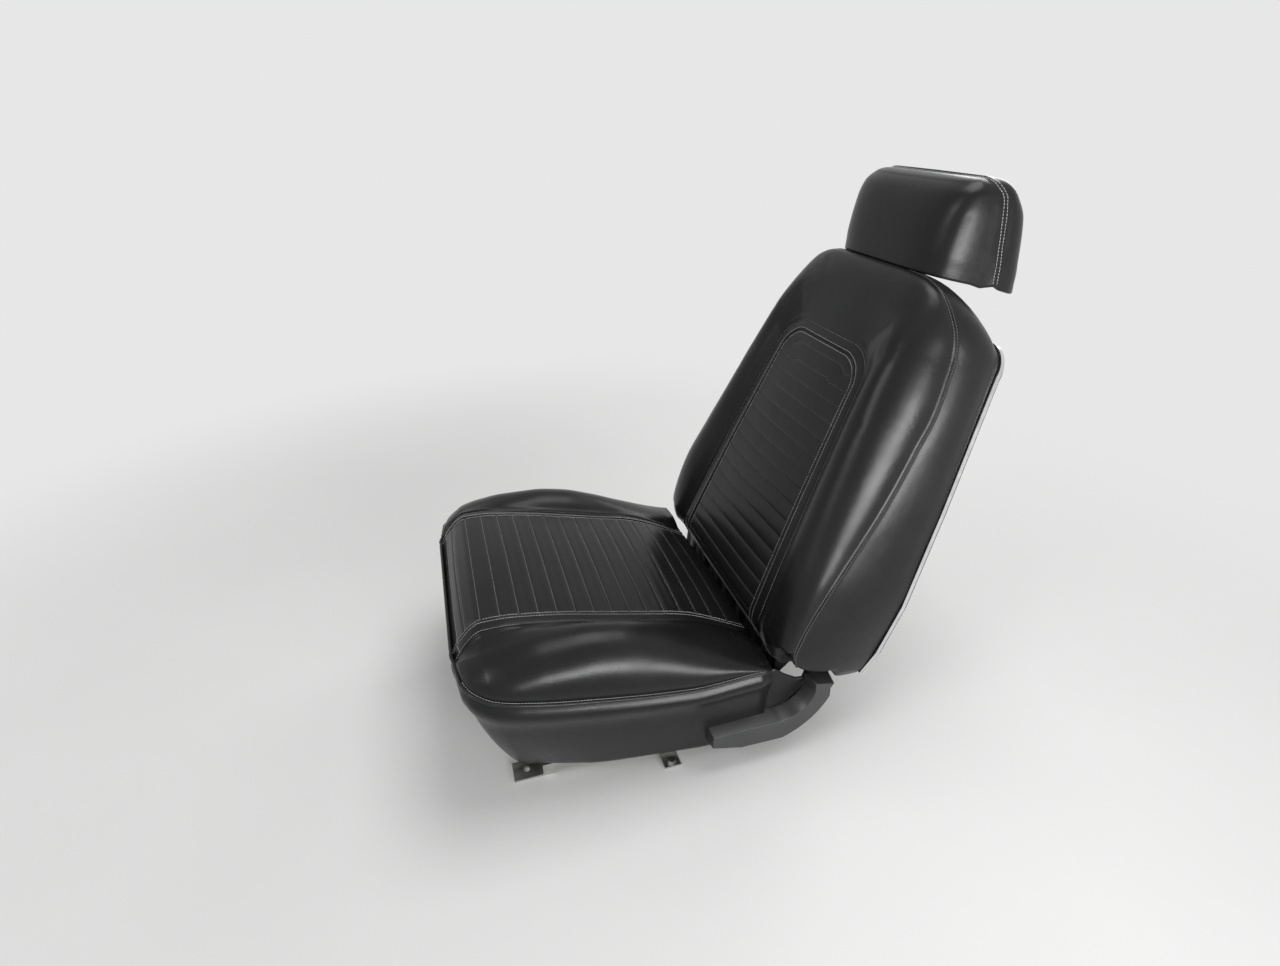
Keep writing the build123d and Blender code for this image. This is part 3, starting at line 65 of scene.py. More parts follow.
def aim_camera():
    pitch = radians(29.10)
    roll = radians(0.36)
    yaw = radians(72.66)
    forward = Vector((-sin(yaw) * cos(pitch), cos(yaw) * cos(pitch), -sin(pitch)))
    level = Vector((cos(yaw), sin(yaw), 0.0))
    upright = level.cross(forward)
    right = cos(roll) * level + sin(roll) * upright
    up = -sin(roll) * level + cos(roll) * upright
    data = bpy.data.cameras.new("photo_camera")
    data.sensor_width = 36.0
    data.lens = 18.92
    data.clip_start = 0.01
    data.clip_end = 100.0
    camera = add("photo_camera", data)
    turn = Matrix((right, up, -forward)).transposed().to_4x4()
    camera.matrix_world = Matrix.Translation((0.9207, -0.2346, 0.9496)) @ turn
    bpy.context.scene.camera = camera


aim_camera()


# Curves and grids


def curve(points, at):
    """Values at the places in at, on a smooth curve without overshoot through (place, value) points."""
    place, value = (np.array(c, float) for c in zip(*points))
    step = np.maximum(np.diff(place), 1e-9)
    slope = np.diff(value) / step
    tangent = np.zeros(len(place))
    tangent[0] = slope[0]
    tangent[-1] = slope[-1]
    for k in range(1, len(place) - 1):
        if slope[k - 1] * slope[k] > 0:
            a = 2 * step[k] + step[k - 1]
            b = step[k] + 2 * step[k - 1]
            tangent[k] = (a + b) / (a / slope[k - 1] + b / slope[k])
    at = np.clip(np.asarray(at, float), place[0], place[-1])
    k = np.clip(np.searchsorted(place, at) - 1, 0, len(place) - 2)
    s = (at - place[k]) / step[k]
    return (
        value[k] * (2 * s**3 - 3 * s**2 + 1)
        + value[k + 1] * (3 * s**2 - 2 * s**3)
        + step[k] * tangent[k] * (s**3 - 2 * s**2 + s)
        + step[k] * tangent[k + 1] * (s**3 - s**2)
    )


def smoothstep(x, low, high):
    """0 below low, 1 above high, and a soft rise between them."""
    s = np.clip((np.asarray(x, float) - low) / (high - low), 0, 1)
    return s * s * (3 - 2 * s)


def lengths(points):
    """Length along a line of points, from its start to each point."""
    return np.concatenate([[0.0], np.cumsum(np.linalg.norm(np.diff(points, axis=0), axis=1))])


def resample(points, spacing):
    """Points along a line, evenly spaced, with their directions."""
    run = lengths(points)
    count = max(1, int(run[-1] / spacing))
    at = (np.arange(count) + 0.5) * run[-1] / count
    place, ahead, behind = (
        np.column_stack([np.interp(at + far, run, column) for column in points.T]) for far in (0, 1.5, -1.5)
    )
    return place, unit((ahead - behind)[:, :3])


def unit(v):
    """The same directions with length 1."""
    return v / np.maximum(np.linalg.norm(v, axis=-1, keepdims=True), 1e-9)


def round_corner(a, b, size, radius):
    """Moves points in the square a, b from 0 to size so that the outer corner becomes round."""
    ratio = radius / size
    p = np.clip(a / size, 0, None)
    q = np.clip(b / size, 0, None)
    m = np.maximum(p, q)
    safe = np.maximum(m, 1e-9)
    length = 2 - 2 * ratio + pi / 2 * ratio
    along = np.where(p >= q, q / safe, 2 - p / safe) * length / 2
    straight = 1 - ratio
    angle = np.clip((along - straight) / ratio, 0, pi / 2)
    before = along < straight
    past = along > straight + pi / 2 * ratio
    new_p = np.where(before, 1.0, np.where(past, length - along, straight + ratio * np.cos(angle)))
    new_q = np.where(before, along, np.where(past, 1.0, straight + ratio * np.sin(angle)))
    inside = (a > 0) & (b > 0)
    return np.where(inside, new_p * m * size, a), np.where(inside, new_q * m * size, b)


def spread(low, high, count, ends=0.0):
    """Numbers from low to high, closer together at both ends as ends goes to 1."""
    s = np.linspace(0, 1, count)
    s = (1 - ends) * s + ends * (1 - np.cos(pi * s)) / 2
    return low + (high - low) * s


def around(centres, offsets, low, high):
    """The places at each offset round each centre, with both limits, in order and not doubled."""
    places = sorted({round(c + o, 3) for c in centres for o in offsets if low < c + o < high} | {low, high})
    kept = [places[0]]
    for place in places[1:]:
        if place - kept[-1] > 0.45:
            kept.append(place)
    kept[-1] = high
    return np.array(kept)


class Shell:
    """A mesh that is put together from grids of points, in millimetres."""

    def __init__(self):
        self.points = []
        self.faces = []
        self.groove = []
        self.pinned = []
        self.paint = []
        self.count = 0
        self.blocks = []
        self.back = None

    def grid(self, p, groove=None, pinned=None, paint=0, flip=False):
        """Adds a grid of points, with the depth of its grooves and where the cloth is held."""
        nu, nv = p.shape[:2]
        self.blocks.append((self.count, p.shape[:2]))
        index = self.count + np.arange(nu * nv).reshape(nu, nv)
        quads = np.stack([index[:-1, :-1], index[1:, :-1], index[1:, 1:], index[:-1, 1:]], axis=-1)
        if flip:
            quads = quads[..., ::-1]
        quads = quads.reshape(-1, 4)
        self.points.append(p.reshape(-1, 3))
        self.groove.append(np.zeros(nu * nv) if groove is None else groove.reshape(-1))
        self.pinned.append(np.zeros(nu * nv) if pinned is None else pinned.reshape(-1))
        self.faces.append(quads)
        self.paint.append(np.full(len(quads), paint))
        self.count += nu * nv

    def weld(self):
        """Joins points at the same place, and drops faces without area."""
        points = np.concatenate(self.points)
        groove = np.concatenate(self.groove)
        pinned = np.concatenate(self.pinned)
        faces = np.concatenate(self.faces)
        paint = np.concatenate(self.paint)
        key = np.round(points * 50).astype(np.int64)
        _, first, back = np.unique(key, axis=0, return_index=True, return_inverse=True)
        back = back.reshape(-1)
        self.back = back
        deep = np.zeros(len(first))
        held = np.zeros(len(first))
        np.maximum.at(deep, back, groove)
        np.maximum.at(held, back, pinned)
        faces = back[faces]
        self.points = points[first]
        self.groove = deep
        self.pinned = held
        keep = [len(set(f)) > 2 for f in faces.tolist()]
        self.faces = faces[keep]
        self.paint = paint[keep]

    def part(self, number, values):
        """Values of the joined points, laid out again as one of the grids."""
        start, shape = self.blocks[number]
        return values[self.back[start:start + shape[0] * shape[1]]].reshape(*shape, -1)

    def outward(self):
        """1 or -1, so that the normals times this look away from the middle."""
        middle = self.points.mean(axis=0)
        return np.sign((self.normals() * (self.points - middle)).sum())

    def normals(self, p=None):
        """Normals at the joined points, or at the same points moved to p."""
        p = self.points if p is None else p
        f = self.faces
        n = np.cross(p[f[:, 2]] - p[f[:, 0]], p[f[:, 3]] - p[f[:, 1]])
        total = np.zeros_like(p)
        for k in range(4):
            np.add.at(total, f[:, k], n)
        return unit(total)


def build(name, points, faces, materials, paint=None):
    """A smooth-shaded mesh object from points in millimetres."""
    mesh = bpy.data.meshes.new(name)
    clean = [[v for k, v in enumerate(face) if v != face[k - 1]] for face in np.asarray(faces).tolist()]
    mesh.from_pydata((np.asarray(points) * MM).tolist(), [], clean)
    mesh.polygons.foreach_set("use_smooth", [True] * len(mesh.polygons))
    for material in materials:
        mesh.materials.append(material)
    if paint is not None:
        mesh.polygons.foreach_set("material_index", np.asarray(paint, np.int32))
    mesh.update()
    return add(name, mesh)


def orient(piece):
    """Turns every face to look outward."""
    net = bmesh.new()
    net.from_mesh(piece.data)
    bmesh.ops.recalc_face_normals(net, faces=net.faces)
    net.to_mesh(piece.data)
    net.free()


def places(mesh):
    """The points of a Blender mesh, in millimetres."""
    flat = np.empty(3 * len(mesh.vertices))
    mesh.vertices.foreach_get("co", flat)
    return flat.reshape(-1, 3) / MM


def search_tree(points):
    tree = KDTree(len(points))
    for k, point in enumerate(points.tolist()):
        tree.insert(point, k)
    tree.balance()
    return tree


def distances(points, targets):
    """Distance from each point to the nearest target."""
    tree = search_tree(targets)
    return np.array([tree.find(point)[2] for point in points.tolist()])


def inflate(shell, cap, pressure=4.0, shrink=2.0):
    """Movement of each point as a cloth simulation blows the cover up between its held seams."""
    held = shell.points[shell.pinned > 0.5]
    free = smoothstep(distances(shell.points, held), 2.0, 22.0)[:, None]
    trial = build("cloth_trial", shell.points - shell.normals() * shrink * free, shell.faces, [])
    orient(trial)
    bpy.context.view_layer.objects.active = trial
    even = trial.modifiers.new("even", "REMESH")
    even.mode = "VOXEL"
    even.voxel_size = CLOTH_MESH * MM
    bpy.ops.object.modifier_apply(modifier="even")
    start = places(trial.data)
    weight = 1 - smoothstep(distances(start, held), 4.0, 11.0)
    group = trial.vertex_groups.new(name="held")
    for k, w in enumerate(weight.tolist()):
        group.add([k], w, "REPLACE")
    cloth = trial.modifiers.new("cloth", "CLOTH")
    values = dict(
        quality=6, mass=0.3, tension_stiffness=18, compression_stiffness=18, bending_stiffness=0.6,
        vertex_group_mass="held", use_pressure=True, uniform_pressure_force=pressure,
    )
    for key, value in values.items():
        setattr(cloth.settings, key, value)
    cloth.settings.effector_weights.gravity = 0
    cloth.collision_settings.use_collision = False
    cloth.collision_settings.use_self_collision = False
    cloth.point_cache.frame_start = 1
    cloth.point_cache.frame_end = CLOTH_FRAMES
    for number in range(1, CLOTH_FRAMES + 1):
        bpy.context.scene.frame_set(number)
    seen = trial.evaluated_get(bpy.context.evaluated_depsgraph_get())
    shift = places(seen.data) - start
    size = np.linalg.norm(shift, axis=1, keepdims=True)
    shift *= np.minimum(1.0, cap / np.maximum(size, 1e-6))
    bpy.context.scene.frame_set(1)
    bpy.data.objects.remove(trial)
    tree = search_tree(start)
    moved = np.zeros_like(shell.points)
    for k, point in enumerate(shell.points.tolist()):
        found = tree.find_n(point, 6)
        share = np.array([1 / (f[2] ** 2 + 4.0) for f in found])
        moved[k] = share @ shift[[f[1] for f in found]] / share.sum()
    return free * moved - shell.normals() * shrink * free


def back_place(p):
    """From the backrest's own x, height up its slope and distance forward, to the row frame."""
    x, t, f = p[..., 0], p[..., 1], p[..., 2]
    return np.stack([x, BACK_Y + t * SIN_R - f * COS_R, BACK_Z + t * COS_R + f * SIN_R], axis=-1)


# Materials


def material(name):
    """A new material, its node tree and its shader."""
    made = bpy.data.materials.new(name)
    made.use_nodes = True
    tree = made.node_tree
    shader = tree.nodes["Principled BSDF"]
    return made, tree, shader


def node(tree, kind, *sources, **values):
    """A node: sources feed its first inputs, in_Scale sets the input Scale, and others are properties."""
    made = tree.nodes.new(kind)
    for source, taken in zip(sources, made.inputs):
        tree.links.new(source, taken)
    for key, value in values.items():
        if key.startswith("in_"):
            made.inputs[key[3:].replace("_", " ")].default_value = value
        else:
            setattr(made, key, value)
    return made


def link(tree, source, made, name):
    tree.links.new(source, made.inputs[name])


def ramp(tree, source, low, high, start, end):
    """A linked grey or colour ramp between two values."""
    made = node(tree, "ShaderNodeValToRGB", source)
    made.color_ramp.elements[0].position = start
    made.color_ramp.elements[1].position = end
    for element, value in zip(made.color_ramp.elements, (low, high)):
        element.color = (value, value, value, 1) if isinstance(value, float) else (*value, 1)
    return made.outputs["Color"]


def noise(tree, scale, detail=4.0, rough=0.5, stretch=None):
    """Noise in the object's own coordinates."""
    where = node(tree, "ShaderNodeTexCoord").outputs["Object"]
    if stretch:
        where = node(tree, "ShaderNodeMapping", where, in_Scale=stretch).outputs["Vector"]
    made = node(tree, "ShaderNodeTexNoise", where, in_Scale=scale, in_Detail=detail, in_Roughness=rough)
    return made.outputs["Fac"]


def bump(tree, height, strength, distance, before=None):
    """A bump laid over the one before it."""
    made = node(tree, "ShaderNodeBump", in_Strength=strength, in_Distance=distance)
    link(tree, height, made, "Height")
    if before is not None:
        link(tree, before, made, "Normal")
    return made.outputs["Normal"]


def vinyl(name, colour, rough=(0.26, 0.36), grain=900.0, depth=0.3):
    """Upholstery vinyl: fine pebbled grain, soft creases and a worn, uneven sheen."""
    made, tree, shader = material(name)
    where = node(tree, "ShaderNodeTexCoord").outputs["Object"]
    cells = node(tree, "ShaderNodeTexVoronoi", where, in_Scale=grain, feature="SMOOTH_F1")
    fine = bump(tree, cells.outputs["Distance"], depth, 0.00022)
    creased = bump(tree, noise(tree, 70.0, 6.0, 0.6), 0.2, 0.0007, fine)
    dented = bump(tree, noise(tree, 16.0, 3.0, 0.5), 0.35, 0.0016, creased)
    link(tree, dented, shader, "Normal")
    link(tree, ramp(tree, noise(tree, 9.0, 5.0, 0.6), *rough, 0.35, 0.68), shader, "Roughness")
    light = tuple(min(1.0, c * 1.5 + 0.002) for c in colour)
    link(tree, ramp(tree, noise(tree, 5.0, 6.0, 0.6), colour, light, 0.4, 0.75), shader, "Base Color")
    shader.inputs["Specular IOR Level"].default_value = 0.22
    return made


def plastic(name, colour, rough, grain, depth):
    """Plastic, paint, thread or felt: a fine grain and an uneven sheen."""
    made, tree, shader = material(name)
    link(tree, bump(tree, noise(tree, grain, 2.0), depth, 0.0002), shader, "Normal")
    link(tree, ramp(tree, noise(tree, 14.0, 6.0, 0.7), *rough, 0.35, 0.7), shader, "Roughness")
    light = tuple(min(1.0, c * 1.3 + 0.004) for c in colour)
    link(tree, ramp(tree, noise(tree, 24.0, 6.0, 0.6), colour, light, 0.42, 0.8), shader, "Base Color")
    return made


def metal(name, colour, rough, stretch=None, scale=60.0, depth=0.05):
    """Bare or plated metal with faint streaks."""
    made, tree, shader = material(name)
    shader.inputs["Metallic"].default_value = 1.0
    streaks = noise(tree, scale, 5.0, 0.6, stretch)
    link(tree, ramp(tree, streaks, *rough, 0.3, 0.7), shader, "Roughness")
    dark = tuple(c * 0.82 for c in colour)
    link(tree, ramp(tree, noise(tree, 18.0, 5.0, 0.6), dark, colour, 0.3, 0.6), shader, "Base Color")
    link(tree, bump(tree, streaks, depth, 0.0003), shader, "Normal")
    return made


VINYL = vinyl("black_vinyl_cover", (0.006, 0.006, 0.0065))
WELT = vinyl("black_vinyl_welt", (0.012, 0.012, 0.013), (0.22, 0.3), 700.0)
THREAD = plastic("grey_thread", (0.36, 0.36, 0.365), (0.5, 0.7), 2400.0, 0.4)
# A darker copy of the grey thread: painted shade that makes the seat's pleat stitching look dimmer than its
# seam stitching.
PLEAT_THREAD_PAINTED_SHADE = plastic("grey_thread_painted_shade", (0.26, 0.26, 0.266), (0.5, 0.7), 2400.0, 0.4)
# A much darker copy of the same grey thread: painted shade on the backrest's pleat and side-seam stitching.
BACK_THREAD_PAINTED_SHADE = plastic("grey_thread_painted_dark_shade", (0.1, 0.1, 0.103), (0.5, 0.7), 2400.0, 0.4)
FELT = plastic("dark_felt", (0.03, 0.028, 0.026), (0.9, 1.0), 700.0, 0.8)
SHELL_PLASTIC = plastic("black_moulded_shell", (0.016, 0.016, 0.017), (0.36, 0.5), 900.0, 0.3)
COVER_PLASTIC = plastic("grey_moulded_cover", (0.022, 0.022, 0.023), (0.3, 0.4), 1100.0, 0.25)
KNOB_PLASTIC = plastic("black_knob_plastic", (0.012, 0.012, 0.012), (0.15, 0.28), 400.0, 0.05)
CHROME = metal("polished_chrome", (0.78, 0.78, 0.79), (0.05, 0.14))
TRIM = metal("bright_edge_trim", (0.72, 0.72, 0.73), (0.12, 0.26))
ZINC = metal("zinc_plated_steel", (0.5, 0.5, 0.48), (0.28, 0.5), (1.0, 0.06, 1.0), 90.0, 0.12)
PAINT = plastic("black_painted_steel", (0.014, 0.014, 0.014), (0.3, 0.5), 500.0, 0.15)

FINISH = {
    COVER_PLASTIC: ("hinge_cover",),
    SHELL_PLASTIC: ("back_shell", "latch_bezel", "headrest_escutcheon"),
    KNOB_PLASTIC: ("lever_knob",),
    PAINT: ("hinge_arm_left", "pivot_bracket_left", "pivot_bracket_right", "seat_frame", "adjuster_lever"),
    CHROME: ("hinge_arm_right", "latch_knob", "headrest_bar"),
    TRIM: ("shell_trim",),
    ZINC: ("seat_springs", "side_bolt_left", "side_bolt_right", "latch_rod"),
}
finish_of = {name: finish for finish, names in FINISH.items() for name in names}
for name, piece in nodes.items():
    finish = finish_of.get(name, ZINC if "track" in name else VINYL)
    if not piece.material_slots:
        piece.data.materials.append(finish)
    for holder in piece.material_slots:
        holder.material = finish


# Rounded edges on the hard pieces

ROUNDED = {"hinge_cover": 2.0, "back_shell": 1.0, "hinge_arm_left": 0.8, "hinge_arm_right": 0.8}
for name, width in ROUNDED.items():
    joined = nodes[name].modifiers.new("joined", "WELD")
    joined.merge_threshold = 0.01 * MM
    edge = nodes[name].modifiers.new("rounded", "BEVEL")
    edge.width = width * MM
    edge.segments = 3
    edge.limit_method = "ANGLE"
    edge.angle_limit = radians(12 if name == "hinge_cover" else 35)
    edge.harden_normals = True


# Seat cushion: a pleated insert and a flat band that run over the front lip, and a bolster on each side

INNER_SEAM = 145.0
OUTER_SEAM = 165.0
SEAT_LINE = (
    (190, 194), (146, 218), (105, 239), (77, 250), (12, 266), (-53, 281.5), (-110, 295), (-162, 304.5),
    (-205, 309.5), (-230, 309), (-243, 303), (-254, 292.5), (-263, 281), (-270.5, 271), (-274, 262),
)
FINE = (-10, -6.5, -4, -2.6, -1.7, -0.9, 0, 0.9, 1.7, 2.6, 4, 6.5, 10, 14)
BAND_LINES = (
    134, 138, 140.5, 141.5, 142.6, 143.7, INNER_SEAM,
    146.3, 147.4, 148.5, 150, 153, 156.5, 160, 162, 163.2, 164.2, OUTER_SEAM,
)
SEAM_GROOVE = (1.5, 2.4)
EDGE_GROOVE = (1.8, 3.0)
PLEAT_GROOVE = (0.9, 0.9)


def groove(distance, width, depth):
    """Depth of a sewn channel at a distance from its middle."""
    return depth * np.exp(-((distance / width) ** 2))


def pleat_height(near, inside, inset):
    """Height of the pleats at a distance from the nearest channel, flatter where the insert ends."""
    puff = 1.1 * (1 - (1 - near / (PLEAT / 2)).clip(0) ** 2) - 0.7
    return np.where(inside, puff, 0) * smoothstep(inset, 0, 9)


def sewn(seam, edge, near, inside):
    """Groove depths by the distance from seam, edge and pleat channel, and where the cloth is held."""
    deep = groove(seam, *SEAM_GROOVE) + groove(edge, *EDGE_GROOVE)
    deep = np.maximum(deep, np.where(inside, groove(near, *PLEAT_GROOVE), 0))
    return deep, ((seam < 1) | (edge < 1) | ((near < 1) & inside)).astype(float)


def smooth_line(points, step=1.0):
    """A smooth line through a few points, closely sampled."""
    points = np.array(points, float)
    run = lengths(points)
    at = np.linspace(0, run[-1], int(run[-1] / step) + 1)
    return np.column_stack([curve(list(zip(run, points[:, k])), at) for k in range(points.shape[1])])


def seat_top():
    """The insert and its band as a grid: across in x, and along the line from rear to front lip."""
    line = smooth_line(SEAT_LINE)
    run = lengths(line)
    pleats = [np.interp(230 - PLEAT * k, -line[:, 0], run) for k in range(15)]
    pleats.append(np.interp(254, -line[:, 0], run))
    at = around(pleats, FINE, 0.0, run[-1])
    half = np.concatenate([np.linspace(0, 130, 20), BAND_LINES])
    xs = np.concatenate([-half[:0:-1], half])
    y = np.interp(at, run, line[:, 0])
    z = np.interp(at, run, line[:, 1])
    ahead = unit(np.column_stack([np.gradient(y), np.gradient(z)]))
    out = np.column_stack([ahead[:, 1], -ahead[:, 0]])
    across = np.abs(xs)[:, None]
    near = np.min(np.abs(at[:, None] - np.array(pleats)[None]), axis=1)[None]
    inside = across < INNER_SEAM
    lift = 4.5 * (1 - (across / INNER_SEAM) ** 2).clip(0) * smoothstep(run[-1] - at, 4, 40)[None]
    lift = lift - 3.0 * smoothstep(across, INNER_SEAM, OUTER_SEAM)
    lift = lift + pleat_height(near, inside, INNER_SEAM - across)
    lift = lift + np.where(across > INNER_SEAM, 1.6 * (1 - ((across - 155) / 10) ** 2), 0)
    deep, held = sewn(np.abs(across - INNER_SEAM), OUTER_SEAM - across, near, inside)
    held[:, 0] = held[:, -1] = 1
    p = np.stack([
        np.broadcast_to(xs[:, None], lift.shape),
        y[None] + out[None, :, 0] * lift,
        z[None] + out[None, :, 1] * lift,
    ], axis=-1)
    return p, deep, held, xs, near


def panel(inner, crown, outer, rises, falls, power, bulge):
    """A padded strip from an inner seam over a crown to an outer seam; a point ends with its height."""
    rows = []
    for s in spread(0, 1, rises + 1)[:-1]:
        q = sin(s * pi / 2) ** 0.9 if s > 0 else 0.0
        rows.append(inner + (crown - inner) * np.array([s, s, q]))
    out = outer - crown
    side = unit(out * np.array([1, 1, 0]))
    for s in spread(0, 1, falls + 1, 1.0):
        a = sin(s * pi / 2) ** (2 / power)
        d = 1 - max(cos(s * pi / 2), 0.0) ** (2 / power)
        rows.append(crown + out * np.array([a, a, d]) + side * np.reshape(bulge * sin(pi * d), (-1, 1)))
    return np.stack(rows, axis=1)


def stations(loop, table, keys, columns):
    """Columns of a table spread along a loop; a row's key columns say which loop point it belongs to."""
    run = lengths(loop)
    at = [run[np.argmin(sum((loop[:, k] - row[c]) ** 2 for c, k in enumerate(keys)))] for row in table]
    return np.column_stack([curve(list(zip(at, [row[c] for row in table])), run) for c in columns])


# Each row: the band's outer seam as y and z, then the crown's x, y, z, then the piping's x, y, z
SEAT_BORDER = (
    (190, 192, 203, 190, 201, 249, 190, 193),
    (155, 212, 203, 155, 216.5, 251, 155, 195),
    (78, 248, 203, 78, 251.5, 252.5, 78, 193),
    (12, 264, 202, 12, 281, 252.5, 12, 200),
    (-42, 277, 202, -42, 299, 252.5, -42, 209),
    (-100, 290, 202, -99, 307, 252.5, -98, 220),
    (-155, 302, 202, -157, 306.5, 252, -154, 231.5),
    (-194, 306, 200, -199, 301.5, 251.5, -190, 241),
    (-229, 307, 196, -235, 293, 246, -226, 249),
    (-243, 300, 190, -250, 284, 238, -242, 253),
    (-254, 290, 184, -260, 277, 226, -256, 257),
    (-263, 279, 178, -267, 271, 208, -265.5, 260),
    (-270, 269, 172, -271.5, 265.5, 188, -271, 262),
    (-274, 262, 165, -274, 262, 165, -274, 262),
)


def mirrored(p):
    return p * np.array([-1.0, 1.0, 1.0])


def toward(ring, centre, shares):
    """A grid from a ring of points toward a centre."""
    return np.stack([ring + (centre - ring) * s for s in shares], axis=1)


def edge_held(p):
    """Holds the first and the last line across a strip."""
    held = np.zeros(p.shape[:2])
    held[:, 0] = held[:, -1] = 1
    return held


def edge_grooves(p, first, last, width):
    """Groove depths across a strip, at its first and last line."""
    step = np.linalg.norm(np.diff(p, axis=1), axis=2)
    run = np.concatenate([np.zeros((p.shape[0], 1)), np.cumsum(step, axis=1)], axis=1)
    total = run[:, -1:]
    return (groove(run, width, first) + groove(total - run, width, last)) * smoothstep(total, 6, 30)


seat_p, seat_deep, seat_held, seat_xs, seat_near = seat_top()
seat_p[..., 2] = np.minimum(seat_p[..., 2], 314)
loop = seat_p[-1]
placed = stations(loop, SEAT_BORDER, (1, 2), range(2, 8))
crown_line = placed[:, :3]
piping_side = placed[:, 3:]
piping_side[-1] = crown_line[-1] = loop[-1]
swell = 4.5 * smoothstep(lengths(loop)[-1] - lengths(loop), 5, 90)
border = panel(loop, crown_line, piping_side, 12, 20, 2.15, swell)
front_edge = seat_p[len(seat_xs) // 2:, -1][::-1]
piping_line = np.concatenate([piping_side, front_edge[1:]])


# Skirt under the cushion: it narrows downward, most of all at the front corners

BASE_SIDE = (
    (-207, 172), (-160, 191), (-111, 206), (-78, 214.5), (9, 226), (52, 230.5), (99, 235), (190, 236),
)
BASE_FRONT = -212.0
BASE_Z = 35.0
SOLE_Z = 94.5
SKIRT_THICK = 5.0
WELT_RADIUS = 2.6


def base_line(top):
    """The skirt's lower edge on one side, from the rear to the front's middle, below the line above it."""
    straight = top[:, 1] > -201
    x = np.zeros(len(top))
    y = np.zeros(len(top))
    y[straight] = 190 + (top[straight, 1] - 190) * (190 + 172) / (190 + 201)
    x[straight] = curve(BASE_SIDE, y[straight])
    bend = ~straight & (top[:, 0] > 182)
    swing = np.clip(np.arctan2(-201 - top[bend, 1], top[bend, 0] - 182) / (pi / 2), 0, 1) * pi / 2
    shoulder = curve(BASE_SIDE, [-172.0])[0]
    x[bend] = 148 + (shoulder - 148) * np.cos(swing)
    y[bend] = -172 + (172 + BASE_FRONT) * np.sin(swing)
    front = ~straight & ~bend
    x[front] = top[front, 0] * 148 / 182
    y[front] = BASE_FRONT
    return np.column_stack([x, y, np.full(len(top), BASE_Z)])


def skirt_row(top, low, way, w):
    """A line round the skirt, w from 0 at the piping to 1 at the lower edge."""
    row = low + (top - low) * (1 - w**1.6)
    row[:, 2] = top[:, 2] + (BASE_Z - top[:, 2]) * w
    belly = 7.0 * np.exp(-(((w - 0.13) / 0.11) ** 2)) * smoothstep(w, 0, 0.1)
    tuck = 1.0 * np.exp(-((w * 200 / 3.5) ** 2)) + 3.0 * np.exp(-(((1 - w) * 200 / 5) ** 2))
    return row + way * (belly - tuck)


def skirt_facing(top):
    """Outward directions along the line round the skirt, smoothed at its corner."""
    way = np.column_stack([np.gradient(top[:, 1]), -np.gradient(top[:, 0]), np.zeros(len(top))])
    way = unit(way) * np.sign((way * top).sum(axis=1, keepdims=True))
    for _ in range(12):
        way[1:-1] = (way[:-2] + way[1:-1] + way[2:]) / 3
    return unit(way)


base = base_line(piping_line)
facing = skirt_facing(piping_line)
side = np.stack([skirt_row(piping_line, base, facing, w) for w in spread(0, 1, 36, 0.35)], axis=1)


WALL_SHARES = (0.03, 0.12, 0.35, 0.6, 0.8, 1.0)


def inside_base(gap):
    """Rows from the piping down inside the skirt, for one side."""
    rows = [piping_line]
    for share in WALL_SHARES:
        level = piping_line[:, 2] + (SOLE_Z - piping_line[:, 2]) * share
        w = ((piping_line[:, 2] - level) / (piping_line[:, 2] - BASE_Z))[:, None]
        row = base + (piping_line - base) * (1 - w**1.6) - facing * gap
        row[:, 2] = level
        rows.append(row)
    return np.stack(rows, axis=1)


seat = Shell()
seat.grid(seat_p, seat_deep, seat_held, flip=True)
border_deep = edge_grooves(border, 3.0, 1.2, 2.2)
seat.grid(border, border_deep, edge_held(border), flip=True)
seat.grid(mirrored(border), border_deep, edge_held(border))
wall = inside_base(9.0)
rear_edge = np.concatenate([mirrored(border)[0, ::-1], seat_p[1:, 0], border[0, 1:]])
rear_rows = []
for share in (0.0, *WALL_SHARES):
    row = rear_edge.copy()
    row[:, 2] = rear_edge[:, 2] + (SOLE_Z - rear_edge[:, 2]) * share
    row[:, 1] -= 3.0 * share**0.3
    row[:, 0] *= 1 - 0.045 * share**0.3
    rear_rows.append(row)
rear_wall = np.stack(rear_rows, axis=1)
around_wall = np.concatenate([wall, mirrored(wall)[-2::-1], rear_wall[1:]])
around_wall[-1] = around_wall[0]
sole = toward(around_wall[:, -1], np.array([0.0, -20.0, SOLE_Z]), (0, 0.3, 0.6, 0.85, 1))
seat.grid(around_wall, paint=1, flip=True)
seat.grid(sole, paint=1, flip=True)
seat.weld()
seat.pinned = np.maximum(seat.pinned, seat.points[:, 2] < 0.155 * (-230 - seat.points[:, 1]) + 235)
low_rear = 1 - 0.85 * smoothstep(seat.points[:, 1], 90, 180)
moved = seat.points + inflate(seat, 5.0) * low_rear[:, None] - seat.normals() * seat.groove[:, None]
seat_out = seat.normals(moved) * seat.outward()
seat_cover = build("seat_cushion_cover", moved, seat.faces, [VINYL, FELT], seat.paint)
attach(seat_cover, "seat_pan")
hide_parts("seat_cushion", "seat_insert")


def closed_wall(outer, thick):
    """A closed sheet of that thickness from its outer face, a grid that runs all the way round."""
    centre = outer.mean(axis=(0, 1))
    du = np.roll(outer[:-1], -1, axis=0) - np.roll(outer[:-1], 1, axis=0)
    normal = np.cross(du, np.array([0, 0, 1.0]))
    normal = unit(np.concatenate([normal, normal[:1]]))
    facing = np.sign((normal * (outer - centre)).sum(axis=-1, keepdims=True))
    inner = outer - normal * facing * thick
    return np.concatenate([outer, inner[:, ::-1], outer[:, :1]], axis=1)


